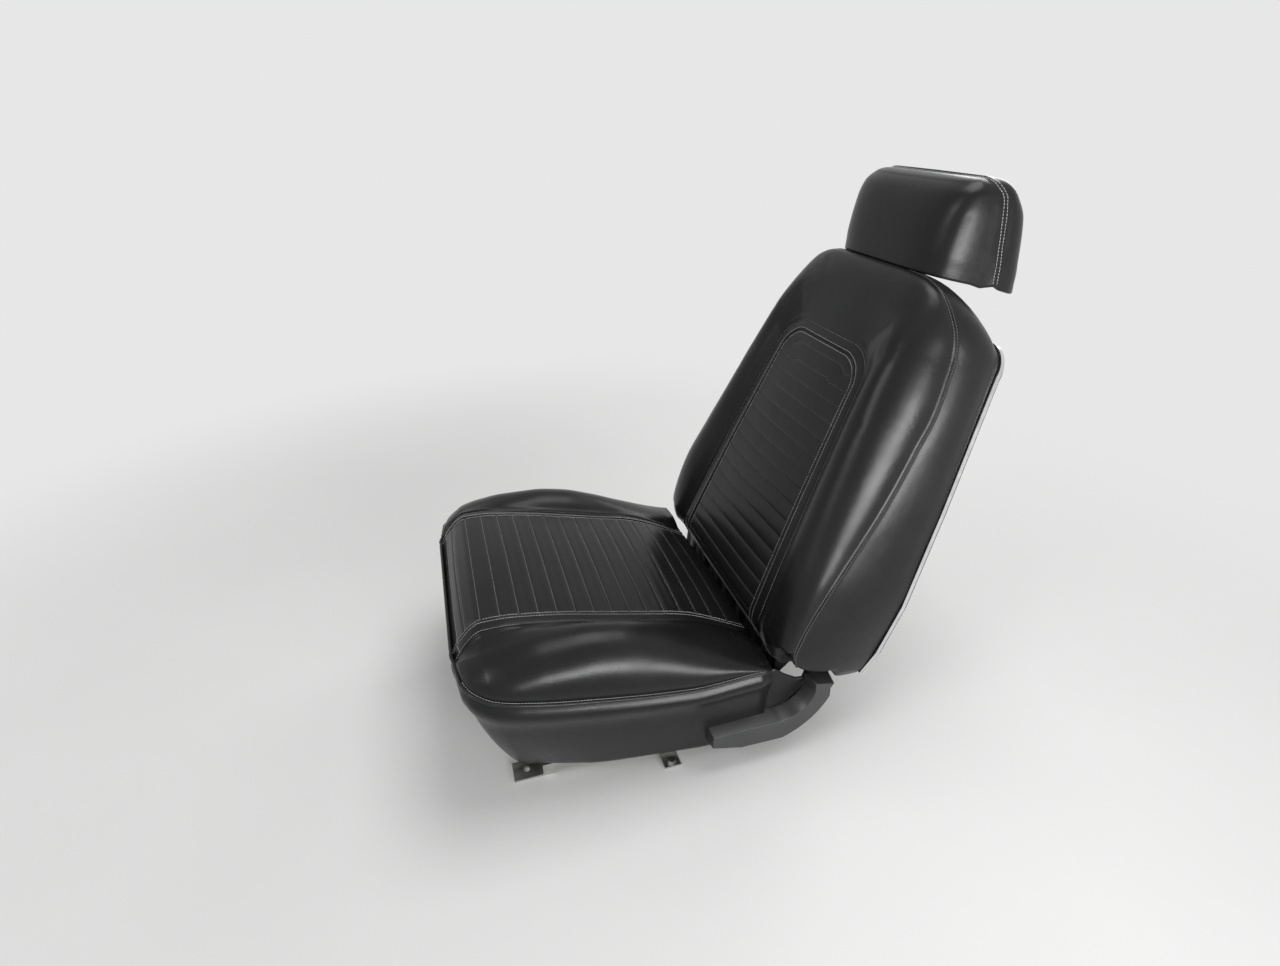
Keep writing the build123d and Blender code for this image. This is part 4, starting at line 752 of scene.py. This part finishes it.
# The tab's outline as y, z, and its sections as x with a share of the outline's size
TAB = (
    (263, 145), (249, 146.5), (238, 152.5), (226.6, 160), (215, 169.5), (202, 178.5), (192, 174), (186, 162),
    (186, 112), (186, 62), (205, 76), (224, 92), (241, 108), (256, 124), (263, 138), (263, 145),
)
TAB_SECTIONS = (
    (232.2, 0.0), (231.4, 0.5), (231.3, 0.9), (231.6, 0.97), (233.4, 1.0), (235.0, 0.97), (235.6, 0.9),
    (235.9, 0.5), (236, 0.0),
)


def tab():
    """A flat padded tab at the outer rear corner, behind the hinge cover."""
    line = smooth_line(TAB, 2.0)
    centre = np.array([221.0, 130.0])
    rings = [np.column_stack([np.full(len(line), x), centre + (line - centre) * s]) for x, s in TAB_SECTIONS]
    return np.stack(rings, axis=1)


rear = np.stack([side[0] + (mirrored(side)[0] - side[0]) * s for s in np.linspace(0, 1, 60)])
skirt = Shell()
skirt.grid(closed_wall(np.concatenate([side, mirrored(side)[-2::-1], rear[-2::-1]]), SKIRT_THICK))
skirt.grid(tab())
skirt.weld()
skirt_cover = build("seat_skirt_cover", skirt.points, skirt.faces, [VINYL])
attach(skirt_cover, "seat_pan")
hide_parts("seat_skirt")


# Welt piping and stitching


def tube(name, line, radius, sides, finish):
    """A round bead along a line."""
    ahead = unit(np.gradient(line, axis=0))
    across = unit(np.cross(ahead, np.array([0, 0, 1.0])))
    above = np.cross(across, ahead)
    turn = np.linspace(0, tau, sides + 1)
    rings = line[:, None] + radius * (
        across[:, None] * np.cos(turn)[None, :, None] + above[:, None] * np.sin(turn)[None, :, None]
    )
    bead = Shell()
    bead.grid(rings)
    for end in (0, -1):
        bead.grid(toward(rings[end], line[end], (1.0, 0.0)))
    bead.weld()
    return build(name, bead.points, bead.faces, [finish])


welt_half = piping_line + facing * WELT_RADIUS
welt_line = np.concatenate([welt_half, mirrored(welt_half)[-2::-1]])[::2]
welt = tube("seat_piping_welt", welt_line, WELT_RADIUS, 10, WELT)
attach(welt, "seat_pan")
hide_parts("seat_piping")


# Distance of a row of stitches from its seam
ROW_GAP = 3.6


def stitches(name, lines, body, finish, radius=0.5, pitch=4.4, length=3.6):
    """Rows of thread stitches. Each point of a line is a place and a surface normal, six numbers."""
    points = []
    faces = []
    sides = 5
    profile = ((-0.5, 0.0), (-0.42, 0.85), (0.0, 1.0), (0.42, 0.85), (0.5, 0.0))
    for line in lines:
        place, ahead = resample(line, pitch)
        normal = unit(place[:, 3:])
        place = place[:, :3]
        across = unit(np.cross(normal, ahead))
        normal = np.cross(ahead, across)
        for k in range(len(place)):
            base = len(points)
            for run, size in profile:
                sink = 0.55 * radius * (2 * abs(run)) ** 3
                for turn in range(sides):
                    angle = tau * turn / sides
                    points.append(
                        place[k]
                        + ahead[k] * run * length
                        + across[k] * radius * size * cos(angle)
                        + normal[k] * (radius * (0.35 + 0.8 * size * sin(angle)) - sink)
                    )
            for r in range(len(profile) - 1):
                for turn in range(sides):
                    a = base + r * sides + turn
                    b = base + r * sides + (turn + 1) % sides
                    faces.append((a, b, b + sides, a + sides))
    piece = build(name, np.array(points), np.array(faces), [finish])
    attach(piece, body)


def laid(shell, number, moved, outward):
    """One grid of a cover, after the simulation, as points and normals side by side."""
    return np.concatenate([shell.part(number, moved), shell.part(number, outward)], axis=-1)


def at_place(grid, places, target):
    """The line across a grid at a place between its lines; places are the numbers of its first axis."""
    k = int(np.clip(np.searchsorted(places, target) - 1, 0, len(places) - 2))
    s = (target - places[k]) / (places[k + 1] - places[k])
    return grid[k] * (1 - s) + grid[k + 1] * s


def at_length(grid, distance, last=False):
    """The line of points at a distance along each row of a grid, from its first or its last point."""
    found = []
    for row in grid[:, ::-1] if last else grid:
        run = lengths(row[:, :3])
        if run[-1] > 3 * distance:
            found.append([np.interp(distance, run, column) for column in row.T])
    return np.array(found)


seat_top_grid = laid(seat, 0, moved, seat_out)
rows = []
for k in np.flatnonzero(np.diff(np.sign(np.gradient(seat_near[0]))) > 0):
    column = k if seat_near[0, k] < seat_near[0, k + 1] else k + 1
    if seat_near[0, column] < 0.3:
        rows.append(seat_top_grid[np.abs(seat_xs) <= 141.5, column])
# The pleat rows use the darker copy of the thread, which is painted shade.
stitches("seat_pleat_stitching", rows, "seat_pan", PLEAT_THREAD_PAINTED_SHADE, 0.42, 4.0)
rows = [
    at_place(seat_top_grid, seat_xs, turn * x)
    for x in (INNER_SEAM - ROW_GAP, INNER_SEAM + ROW_GAP, OUTER_SEAM - 2.8) for turn in (-1, 1)
]
for number in (1, 2):
    rows.append(at_length(laid(seat, number, moved, seat_out), 4.0, last=True))
rows.append(seat_top_grid[:, -1] * 0.25 + seat_top_grid[:, -2] * 0.75)
stitches("seat_seam_stitching", rows, "seat_pan", THREAD, 0.5)


# Backrest: pleated insert and band, bolsters that join over the top, and a boxing down to the rear shell

BAND = OUTER_SEAM - INNER_SEAM
INSERT_TOP = 411.0
INSERT_FOOT = -62.0
BACK_LINE = (
    (-62, -30), (-50, -14), (-36, -5), (-14, 0), (40, 0.5), (90, 0), (170, -1.5), (250, -4.4), (330, -7.5),
    (411, -11.7), (432, -12.8),
)
INSERT_HALF = ((-62, 155.6), (411, 105.4), (432, 103.2))
CORNER_SIZE = 96.0
CORNER_R = 54.0
PIVOT_Y = 280.0
PIVOT_Z = 224.0
COVER_REACH = 61.0
FOLD = radians(48)
FAN = (0, 0.25, 0.5, 0.75, 1.0)


def back_front():
    """The insert and its band, as a grid across in x and up the slope."""
    top = INSERT_TOP + BAND
    pleats = [PLEAT * k for k in range(-1, 15) if PLEAT * k < INSERT_TOP - 9]
    at = around(pleats + [INSERT_TOP], FINE, INSERT_FOOT, INSERT_TOP + 6)
    at = np.concatenate([at, INSERT_TOP + np.array([10, 14, 17, 18.5, BAND])])
    reference = curve(INSERT_HALF, [top])[0]
    shares = np.concatenate([np.linspace(0, 130, 20), BAND_LINES])
    inner = shares[shares <= INNER_SEAM] / INNER_SEAM * reference
    half = np.concatenate([inner, reference + (shares[shares > INNER_SEAM] - INNER_SEAM)])
    xs = np.concatenate([-half[:0:-1], half])
    x, t = np.meshgrid(xs, at, indexing="ij")
    start = reference + BAND - CORNER_SIZE
    dx, dt = round_corner(np.abs(x) - start, t - (top - CORNER_SIZE), CORNER_SIZE, CORNER_R)
    wx = np.where(np.abs(x) > start, np.sign(x) * (start + dx), x)
    wt = np.where(t > top - CORNER_SIZE, top - CORNER_SIZE + dt, t)
    wide = (curve(INSERT_HALF, wt.ravel()).reshape(wt.shape) + BAND) / (reference + BAND)
    inset = np.minimum(reference + BAND - np.abs(x), top - t)
    near = np.min(np.abs(t[..., None] - np.array(pleats)), axis=-1)
    f = curve(BACK_LINE, wt.ravel()).reshape(wt.shape)
    inside = inset > BAND
    share = np.clip(np.abs(x) / reference, 0, 1)
    f = f + 3.5 * (1 - share**2) * smoothstep(t, INSERT_FOOT, 0)
    f = f + pleat_height(near, inside, inset - BAND)
    f = f + np.where(inside, 0, 1.6 * (1 - ((inset - 10) / 10) ** 2) - 2.0 * (1 - inset / BAND))
    deep, held = sewn(np.abs(inset - BAND), inset, near, inside)
    return np.stack([wx * wide, wt, f], axis=-1), deep, held, xs, at, inset


# Each row: the outer seam's x, t, then x, t, forward of crown, side seam, boxing's middle and shell's edge
BACK_BORDER = (
    (176, -62, 207, -60, -30, 240, -58, -50, 246, -62, -108, 243, -50, -172),
    (174, -48, 208, -48, -9, 249, -46, -38, 254, -47, -102, 247, -40, -173),
    (171, -14, 207, -14, 9, 254, -16, -20, 258, -14, -98, 250, -10, -174),
    (166, 30, 207, 30, 16, 254.5, 30, -17.5, 259, 32, -97, 250.5, 36, -174),
    (160, 90, 205, 90, 20, 252, 90, -24, 256, 90, -100, 249, 92, -174),
    (151, 170, 195, 170, 18, 239.5, 170, -46, 243.5, 170, -112, 237, 170, -174),
    (143, 250, 184, 250, 14, 227, 250, -66, 231, 250, -122, 225, 250, -174),
    (134, 330, 172, 332, 9.5, 213.5, 332, -80, 217, 332, -129, 210, 330, -174),
    (128, 378, 162, 388, 5.5, 203, 394, -88, 206, 394, -133, 198, 392, -174),
    (124, 398, 155, 428, 1, 191, 452, -86, 194, 454, -132, 187.5, 448, -174),
    (112, 418, 142, 462, -5, 182, 490, -75, 185, 490, -124, 183, 472, -174),
    (96, 428, 126, 484, -11, 168, 518, -58, 173, 513, -114, 172, 488, -174),
    (78, 431, 102, 498, -14, 144, 539, -46, 147, 533, -105, 150, 496, -174),
    (52, 431, 68, 506, -15, 106, 549, -41, 108, 543, -100, 112, 498, -174),
    (25, 431, 33, 508, -15, 54, 551, -40, 56, 546, -98, 58, 498, -174),
    (0, 431, 0, 508, -15, 0, 551, -40, 0, 546, -98, 0, 498, -174),
)

back_p, back_deep, back_held, back_xs, back_at, back_inset = back_front()
middle = len(back_xs) // 2
loop = np.concatenate([back_p[-1], back_p[-2:middle - 1:-1, -1]])
placed = stations(loop, BACK_BORDER, (0, 1), range(2, 14))
side_seam = placed[:, 3:6]
bolster = panel(loop, placed[:, :3], side_seam, 14, 22, 2.1, 2.0)
shell_edge = placed[:, 9:12]
through = 2 * placed[:, 6:9] - (side_seam + shell_edge) / 2
boxing = np.stack([
    (1 - v) ** 2 * side_seam + 2 * v * (1 - v) * through + v**2 * shell_edge for v in spread(0, 1, 26, 0.6)
], axis=1)


def clear_cover(p):
    """Draws the lower outer corners in, where the hinge cover passes as the back folds."""
    q = back_place(p)
    dy = q[..., 1] - PIVOT_Y
    dz = q[..., 2] - PIVOT_Z
    reach = np.hypot(dy, dz)
    soft = 8.0
    start = COVER_REACH - soft
    drawn = np.where(reach > start, COVER_REACH - soft * np.exp(-(reach - start) / soft), reach)
    amount = smoothstep(np.abs(p[..., 0]), 224, 234) * smoothstep(314 - q[..., 1], 0, 14) * (dz < 0)
    scale = 1 + (drawn / np.maximum(reach, 1) - 1) * amount
    q[..., 1] = PIVOT_Y + dy * scale
    q[..., 2] = PIVOT_Z + dz * scale
    return q


back = Shell()
back.grid(clear_cover(back_p), back_deep, back_held)
for turned in (False, True):
    keep = mirrored if turned else np.array
    for strip, first, last in ((bolster, 3.0, 2.4), (boxing, 2.4, 1.0)):
        strip_deep = edge_grooves(strip, first, last, 2.0)
        back.grid(clear_cover(keep(strip)), strip_deep, edge_held(strip), flip=turned)
foot = np.concatenate([
    mirrored(boxing)[0, ::-1], mirrored(bolster)[0, -2::-1], back_p[1:, 0], bolster[0, 1:], boxing[0, 1:],
])
foot_rear = np.linspace(boxing[0, -1], mirrored(boxing)[0, -1], 40)
foot = np.concatenate([foot, foot_rear[1:]])
back.grid(clear_cover(toward(foot, np.array([0, -58, -100.0]), FAN)))
rim = np.concatenate([boxing[:, -1], mirrored(boxing)[-2::-1, -1], foot_rear[::-1][1:]])
back.grid(clear_cover(toward(rim, np.array([0, 200, -174.0]), FAN)))
back.weld()
behind = (back.points[:, 1] - BACK_Y) * COS_R - (back.points[:, 2] - BACK_Z) * SIN_R
height = (back.points[:, 1] - BACK_Y) * SIN_R + (back.points[:, 2] - BACK_Z) * COS_R
back.pinned = np.maximum(back.pinned, (behind > 165) | (back.points[:, 2] < 186))
low_foot = 0.1 + 0.4 * smoothstep(height, 60, 180)
blown = inflate(back, 4.0, 3.0, 1.2) * low_foot[:, None]
moved = back.points + blown - back.normals() * back.groove[:, None]
back_out = back.normals(moved) * back.outward()
back_cover = build("backrest_cover", moved, back.faces, [VINYL])
grid = laid(back, 0, moved, back_out)
rows = []
for k in range(-1, 15):
    column = int(np.argmin(np.abs(back_at - PLEAT * k)))
    if PLEAT * k < INSERT_TOP - 9:
        inside = back_inset[:, column] > BAND + ROW_GAP
        rows.append(grid[inside, column])
# The backrest's pleat rows use the much darker copy of the thread, which is painted shade.
stitches("backrest_pleat_stitching", rows, "backrest", BACK_THREAD_PAINTED_SHADE, 0.38, 4.0)


def inset_row(distance):
    """The row at a distance inside the band's outer seam: up one side, across the top and down the other."""
    side = back_xs[-1] - distance
    top = back_at[-1] - distance
    right = at_place(grid, back_xs, side)[back_at < top]
    left = at_place(grid, back_xs, -side)[back_at < top]
    across = at_place(grid.swapaxes(0, 1), back_at, top)[np.abs(back_xs) < side]
    return np.concatenate([left, across, right[::-1]])


rows = [inset_row(distance) for distance in (BAND + ROW_GAP, BAND - ROW_GAP, 2.8)]
stitches("backrest_insert_stitching", rows, "backrest", THREAD, 0.46)
rows = []
for number in (1, 3):
    rows.append(at_length(laid(back, number, moved, back_out), 3.4, last=True))
    rows.append(at_length(laid(back, number + 1, moved, back_out), 3.4))
# The side-seam rows use the same much darker thread copy, which is painted shade.
stitches("backrest_side_stitching", rows, "backrest", BACK_THREAD_PAINTED_SHADE, 0.46)


def cut(piece, outline, x_low, x_high):
    """Cuts a prism out of a piece: an outline in y and z, between two places in x."""
    points = [(x, y, z) for x in (x_low, x_high) for y, z in outline]
    n = len(outline)
    faces = [tuple(range(n - 1, -1, -1)), tuple(range(n, 2 * n))]
    faces += [(k, (k + 1) % n, n + (k + 1) % n, n + k) for k in range(n)]
    mesh = bpy.data.meshes.new("cutter")
    mesh.from_pydata((np.array(points) * MM).tolist(), [], faces)
    tool = add("cutter", mesh)
    orient(tool)
    change = piece.modifiers.new("cut", "BOOLEAN")
    change.object = tool
    change.operation = "DIFFERENCE"
    change.solver = "FAST"
    bpy.context.view_layer.objects.active = piece
    bpy.ops.object.modifier_apply(modifier=change.name)
    bpy.data.objects.remove(tool)


def arm_slot(radius, fold):
    """Outline of the space in which a hinge arm swings, seen from the side."""
    deep = 140.0
    low = PIVOT_Z - deep
    arc = [(PIVOT_Y - radius * cos(a), PIVOT_Z + radius * sin(a)) for a in np.linspace(fold, pi, 16)]
    corner = (arc[0][0] - deep * sin(fold), arc[0][1] - deep * cos(fold))
    return arc + [(PIVOT_Y + radius, low), (PIVOT_Y - deep * sin(fold), low), corner]


orient(back_cover)
for x_low, x_high in ((217.5, 232.5), (-232.5, -217.5)):
    cut(back_cover, arm_slot(18.0, FOLD), x_low, x_high)
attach(back_cover, "backrest")
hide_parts("backrest_cushion", "backrest_insert", "backrest_boxing")


# Padded flap under the backrest, which closes the gap behind the cushion

FLAP_SECTION = (
    (-55, -37), (-64, -38), (-76, -41), (-88, -44), (-97, -46.2), (-102.5, -48.6), (-105.5, -53),
    (-102.5, -57.5), (-97, -60.5), (-88, -65), (-76, -70.5), (-64, -75), (-55, -76.5), (-53, -57), (-55, -37),
)
FLAP_HALF = 203.0
FLAP_END = 12.0


def flap():
    """The flap's section along x, with small tucks at its edge and rounded ends."""
    section = smooth_line(FLAP_SECTION, 2.0)
    centre = np.array([-78.0, -56.0])
    straight = FLAP_HALF - FLAP_END
    ends = FLAP_HALF - spread(0, FLAP_END, 8)
    rows = []
    for x in np.concatenate([-ends[:-1], np.linspace(-straight, straight, 150), ends[::-1][1:]]):
        end = max(0.0, (abs(x) - straight) / FLAP_END)
        size = (1 - min(end, 1.0) ** 2.2) ** (1 / 2.2) * 0.2 + 0.8
        tuck = 0.5 * sin(x / 9.0) + 0.4 * sin(x / 5.3 + 1)
        ring = centre + (section - centre) * size
        ring[:, 1] += tuck * smoothstep(-section[:, 0], 60, 75) * (section[:, 1] > -57)
        rows.append(np.column_stack([np.full(len(ring), x), ring]))
    return np.array(rows)


flap_p = flap()
pad = Shell()
pad.grid(back_place(flap_p))
for end in (0, -1):
    pad.grid(back_place(toward(flap_p[end], flap_p[end].mean(axis=0), FAN)))
pad.weld()
flap_cover = build("backrest_flap_cover", pad.points, pad.faces, [VINYL])
orient(flap_cover)
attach(flap_cover, "backrest")
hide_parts("backrest_flap")


# Headrest: a rounded pad with an open, lipped underside

# Each row: height, then the section's front, rear and half width
HEAD_TABLE = (
    (690, 430, 623, 124),
    (765, 437, 608, 129),
    (823, 448, 593, 129),
    (848, 459, 573, 127),
    (862, 474, 556, 120),
    (869, 490, 538, 106),
    (870, 513, 515, 98),
)
HEAD_SEAM = ((556, 680), (549, 720), (529, 848), (520, 862), (506, 880))
HEAD_LOW = 733.0
HEAD_TOP = 870.0
HEAD_MIDDLE_Y = 515.0
SOLE_TILT = 0.22
# Each row: how far the lip has gone inward, and up
HEAD_LIP = ((1.2, -1.6), (3.4, -1.9), (5.4, 0.4), (6.0, 5.0), (6.4, 17.0))


def headrest():
    """Rings from the middle of the hollow underside, round the lip and up to the seam along the top."""
    turn = np.linspace(0, tau, 241)
    bow = 2 / 4.5
    round_x = np.sign(np.cos(turn)) * np.abs(np.cos(turn)) ** bow
    round_y = np.sign(np.sin(turn)) * np.abs(np.sin(turn)) ** bow
    rows = []
    dome = 20.0
    shoulder = HEAD_TOP - dome
    heights = spread(HEAD_LOW, shoulder, 46)[:-1].tolist()
    heights += (shoulder + dome * np.sin(np.linspace(0, pi / 2, 30))).tolist()
    for z in heights:
        front, rear, half = (curve([(r[0], r[c]) for r in HEAD_TABLE], [z])[0] for c in (1, 2, 3))
        y = (front + rear) / 2 - round_y * (rear - front) / 2
        notch = groove(y - 547, 8.0, 4.0) - groove(y - 528, 10.0, 2.2)
        low = 731.5 - SOLE_TILT * (y - HEAD_MIDDLE_Y) + np.where(round_x**2 > 0.5, notch, 0)
        low = low + 1.2 * np.sin(5 * turn + 1) * (y > 552)
        level = low + (z - HEAD_LOW) * (HEAD_TOP - low) / (HEAD_TOP - HEAD_LOW)
        rows.append(np.column_stack([half * round_x, y, level]))
    top = rows[-1].mean(axis=0) + np.array([0, 0, 0.6])
    crown = [rows[-1] + (top - rows[-1]) * s for s in (0.5, 1.0)]
    lip = []
    centre = np.array([0, HEAD_MIDDLE_Y, 0])
    way = unit((centre - rows[0]) * np.array([1, 1, 0]))
    for inward, up in HEAD_LIP:
        row = rows[0] + way * inward
        row[:, 2] += up
        lip.append(row)
    roof = lip[-1].mean(axis=0)
    under = [lip[-1] + (roof - lip[-1]) * s for s in (0.35, 0.7, 1.0)]
    return np.stack(under[::-1] + lip[::-1] + rows + crown, axis=1), len(under) + len(lip)


def seam_distance(p, line):
    """Distance in the side view from points to a bent seam line."""
    y, z = p[..., 1], p[..., 2]
    best = np.full(y.shape, 1e9)
    for (y0, z0), (y1, z1) in zip(line[:-1], line[1:]):
        run = np.hypot(y1 - y0, z1 - z0)
        s = np.clip(((y - y0) * (y1 - y0) + (z - z0) * (z1 - z0)) / run**2, 0, 1)
        best = np.minimum(best, np.hypot(y - y0 - s * (y1 - y0), z - z0 - s * (z1 - z0)))
    return best


head_p, first = headrest()
head_deep = groove(seam_distance(head_p, HEAD_SEAM), 2.2, 2.2)
head_deep[:, :first] = 0
head = Shell()
head.grid(head_p, head_deep)
head.weld()
lip_top = 742 - SOLE_TILT * (head.points[:, 1] - HEAD_MIDDLE_Y)
head.pinned = ((head.groove > 1.8) | (head.points[:, 2] < lip_top)).astype(float)
moved = head.points + inflate(head, 3.0, 3.0, 0.8) - head.normals() * head.groove[:, None]
head_out = head.normals(moved) * head.outward()
head_cover = build("headrest_cover", moved, head.faces, [VINYL])
grid = laid(head, 0, moved, head_out)
rows = []
for rear in (-3.4, 3.4):
    line = np.array(HEAD_SEAM) + [rear, 0]
    for half in (grid[60:181], np.concatenate([grid[180:-1], grid[:61]])):
        row = []
        for column in range(first + 1, grid.shape[1] - 1):
            seam_y = np.interp(half[:, column, 2], line[:, 1], line[:, 0])
            gap = half[:, column, 1] - seam_y
            turns = np.flatnonzero(np.sign(gap[:-1]) != np.sign(gap[1:]))
            if len(turns):
                k = turns[0]
                s = gap[k] / (gap[k] - gap[k + 1])
                row.append(half[k, column] * (1 - s) + half[k + 1, column] * s)
        rows.append(np.array(row))
deep = np.ptp(head_p[..., 1], axis=0) / 2
slit = first + 40 + int(np.argmin(np.abs(deep[first + 40:-2] - 3.4)))
rows += [grid[6:115, slit], grid[126:235, slit]]
stitches("headrest_seam_stitching", rows, "headrest", THREAD, 0.5)
orient(head_cover)
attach(head_cover, "headrest")
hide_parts("headrest_cushion", "headrest_back")
orient(seat_cover)
orient(skirt_cover)
for x_low, x_high in ((221.5, 228.5), (-228.5, -221.5)):
    cut(skirt_cover, [(168, 48), (210, 48), (210, 88), (168, 88)], x_low, x_high)


# Floor, backdrop and light

PALE = (0.8, 0.8, 0.8, 1)
# Each row: name, place, the point it looks at, size, watts and the angle of its beam
LIGHTS = (
    ("door_light", (2.15, 0.75, 0.48), (0.1, 0.15, 0.75), (1.5, 0.55), 17, 90),
    ("front_light", (0.9, -2.2, 2.0), (0, 0.1, 0.4), (1.0, 1.0), 18, 180),
    ("top_light", (0.1, 0.7, 2.8), (0, 0.1, 0.4), (1.6, 1.4), 34, 180),
    ("rear_light", (-1.4, 2.4, 1.6), (0, 0.3, 0.4), (1.2, 1.2), 18, 180),
)


def direct_rays(tree):
    """1 for what the camera sees, directly, in a reflection or through glass."""
    ray = node(tree, "ShaderNodeLightPath").outputs
    both = node(tree, "ShaderNodeMath", ray["Is Camera Ray"], ray["Is Glossy Ray"], operation="MAXIMUM")
    third = node(tree, "ShaderNodeMath", both.outputs[0], ray["Is Transmission Ray"], operation="MAXIMUM")
    return third.outputs[0]


def studio():
    mesh = bpy.data.meshes.new("studio_floor")
    ring = [(30 * cos(tau * k / 96), 30 * sin(tau * k / 96), -0.0005) for k in range(96)]
    mesh.from_pydata(ring, [], [list(range(96))])
    floor = add("studio_floor", mesh)
    made, tree, shader = material("pale_floor")
    cloudy = noise(tree, 3.0)
    link(tree, ramp(tree, cloudy, (0.7, 0.7, 0.695), (0.72, 0.72, 0.715), 0.3, 0.7), shader, "Base Color")
    link(tree, ramp(tree, cloudy, 0.8, 0.95, 0.3, 0.7), shader, "Roughness")
    shader.inputs["Specular IOR Level"].default_value = 0.1
    far = node(tree, "ShaderNodeEmission", in_Color=PALE)
    where = node(tree, "ShaderNodeTexCoord").outputs["Object"]
    reach = node(tree, "ShaderNodeVectorMath", where, operation="LENGTH").outputs["Value"]
    share = node(tree, "ShaderNodeMapRange", reach, in_From_Min=0.7, in_From_Max=2.0)
    share.interpolation_type = "SMOOTHSTEP"
    seen = node(tree, "ShaderNodeMath", direct_rays(tree), share.outputs["Result"], operation="MULTIPLY")
    mix = node(tree, "ShaderNodeMixShader", seen.outputs[0], shader.outputs[0], far.outputs[0])
    link(tree, mix.outputs[0], tree.nodes["Material Output"], "Surface")
    mesh.materials.append(made)
    world = bpy.data.worlds.new("studio_air")
    bpy.context.scene.world = world
    world.use_nodes = True
    tree = world.node_tree
    back = tree.nodes["Background"]
    back.inputs["Color"].default_value = (0.86, 0.86, 0.86, 1)
    back.inputs["Strength"].default_value = 0.5
    shown = node(tree, "ShaderNodeBackground", in_Color=PALE)
    mix = node(tree, "ShaderNodeMixShader", direct_rays(tree), back.outputs[0], shown.outputs[0])
    link(tree, mix.outputs[0], tree.nodes["World Output"], "Surface")
    for name, place, aim, size, watts, angle in LIGHTS:
        data = bpy.data.lights.new(name, "AREA")
        data.shape = "RECTANGLE"
        data.size, data.size_y = size
        data.energy = watts
        data.spread = radians(angle)
        lamp = add(name, data)
        lamp.location = place
        lamp.rotation_euler = (Vector(aim) - Vector(place)).to_track_quat("-Z", "Y").to_euler()


studio()
view = bpy.context.scene.view_settings
view.view_transform = "Standard"
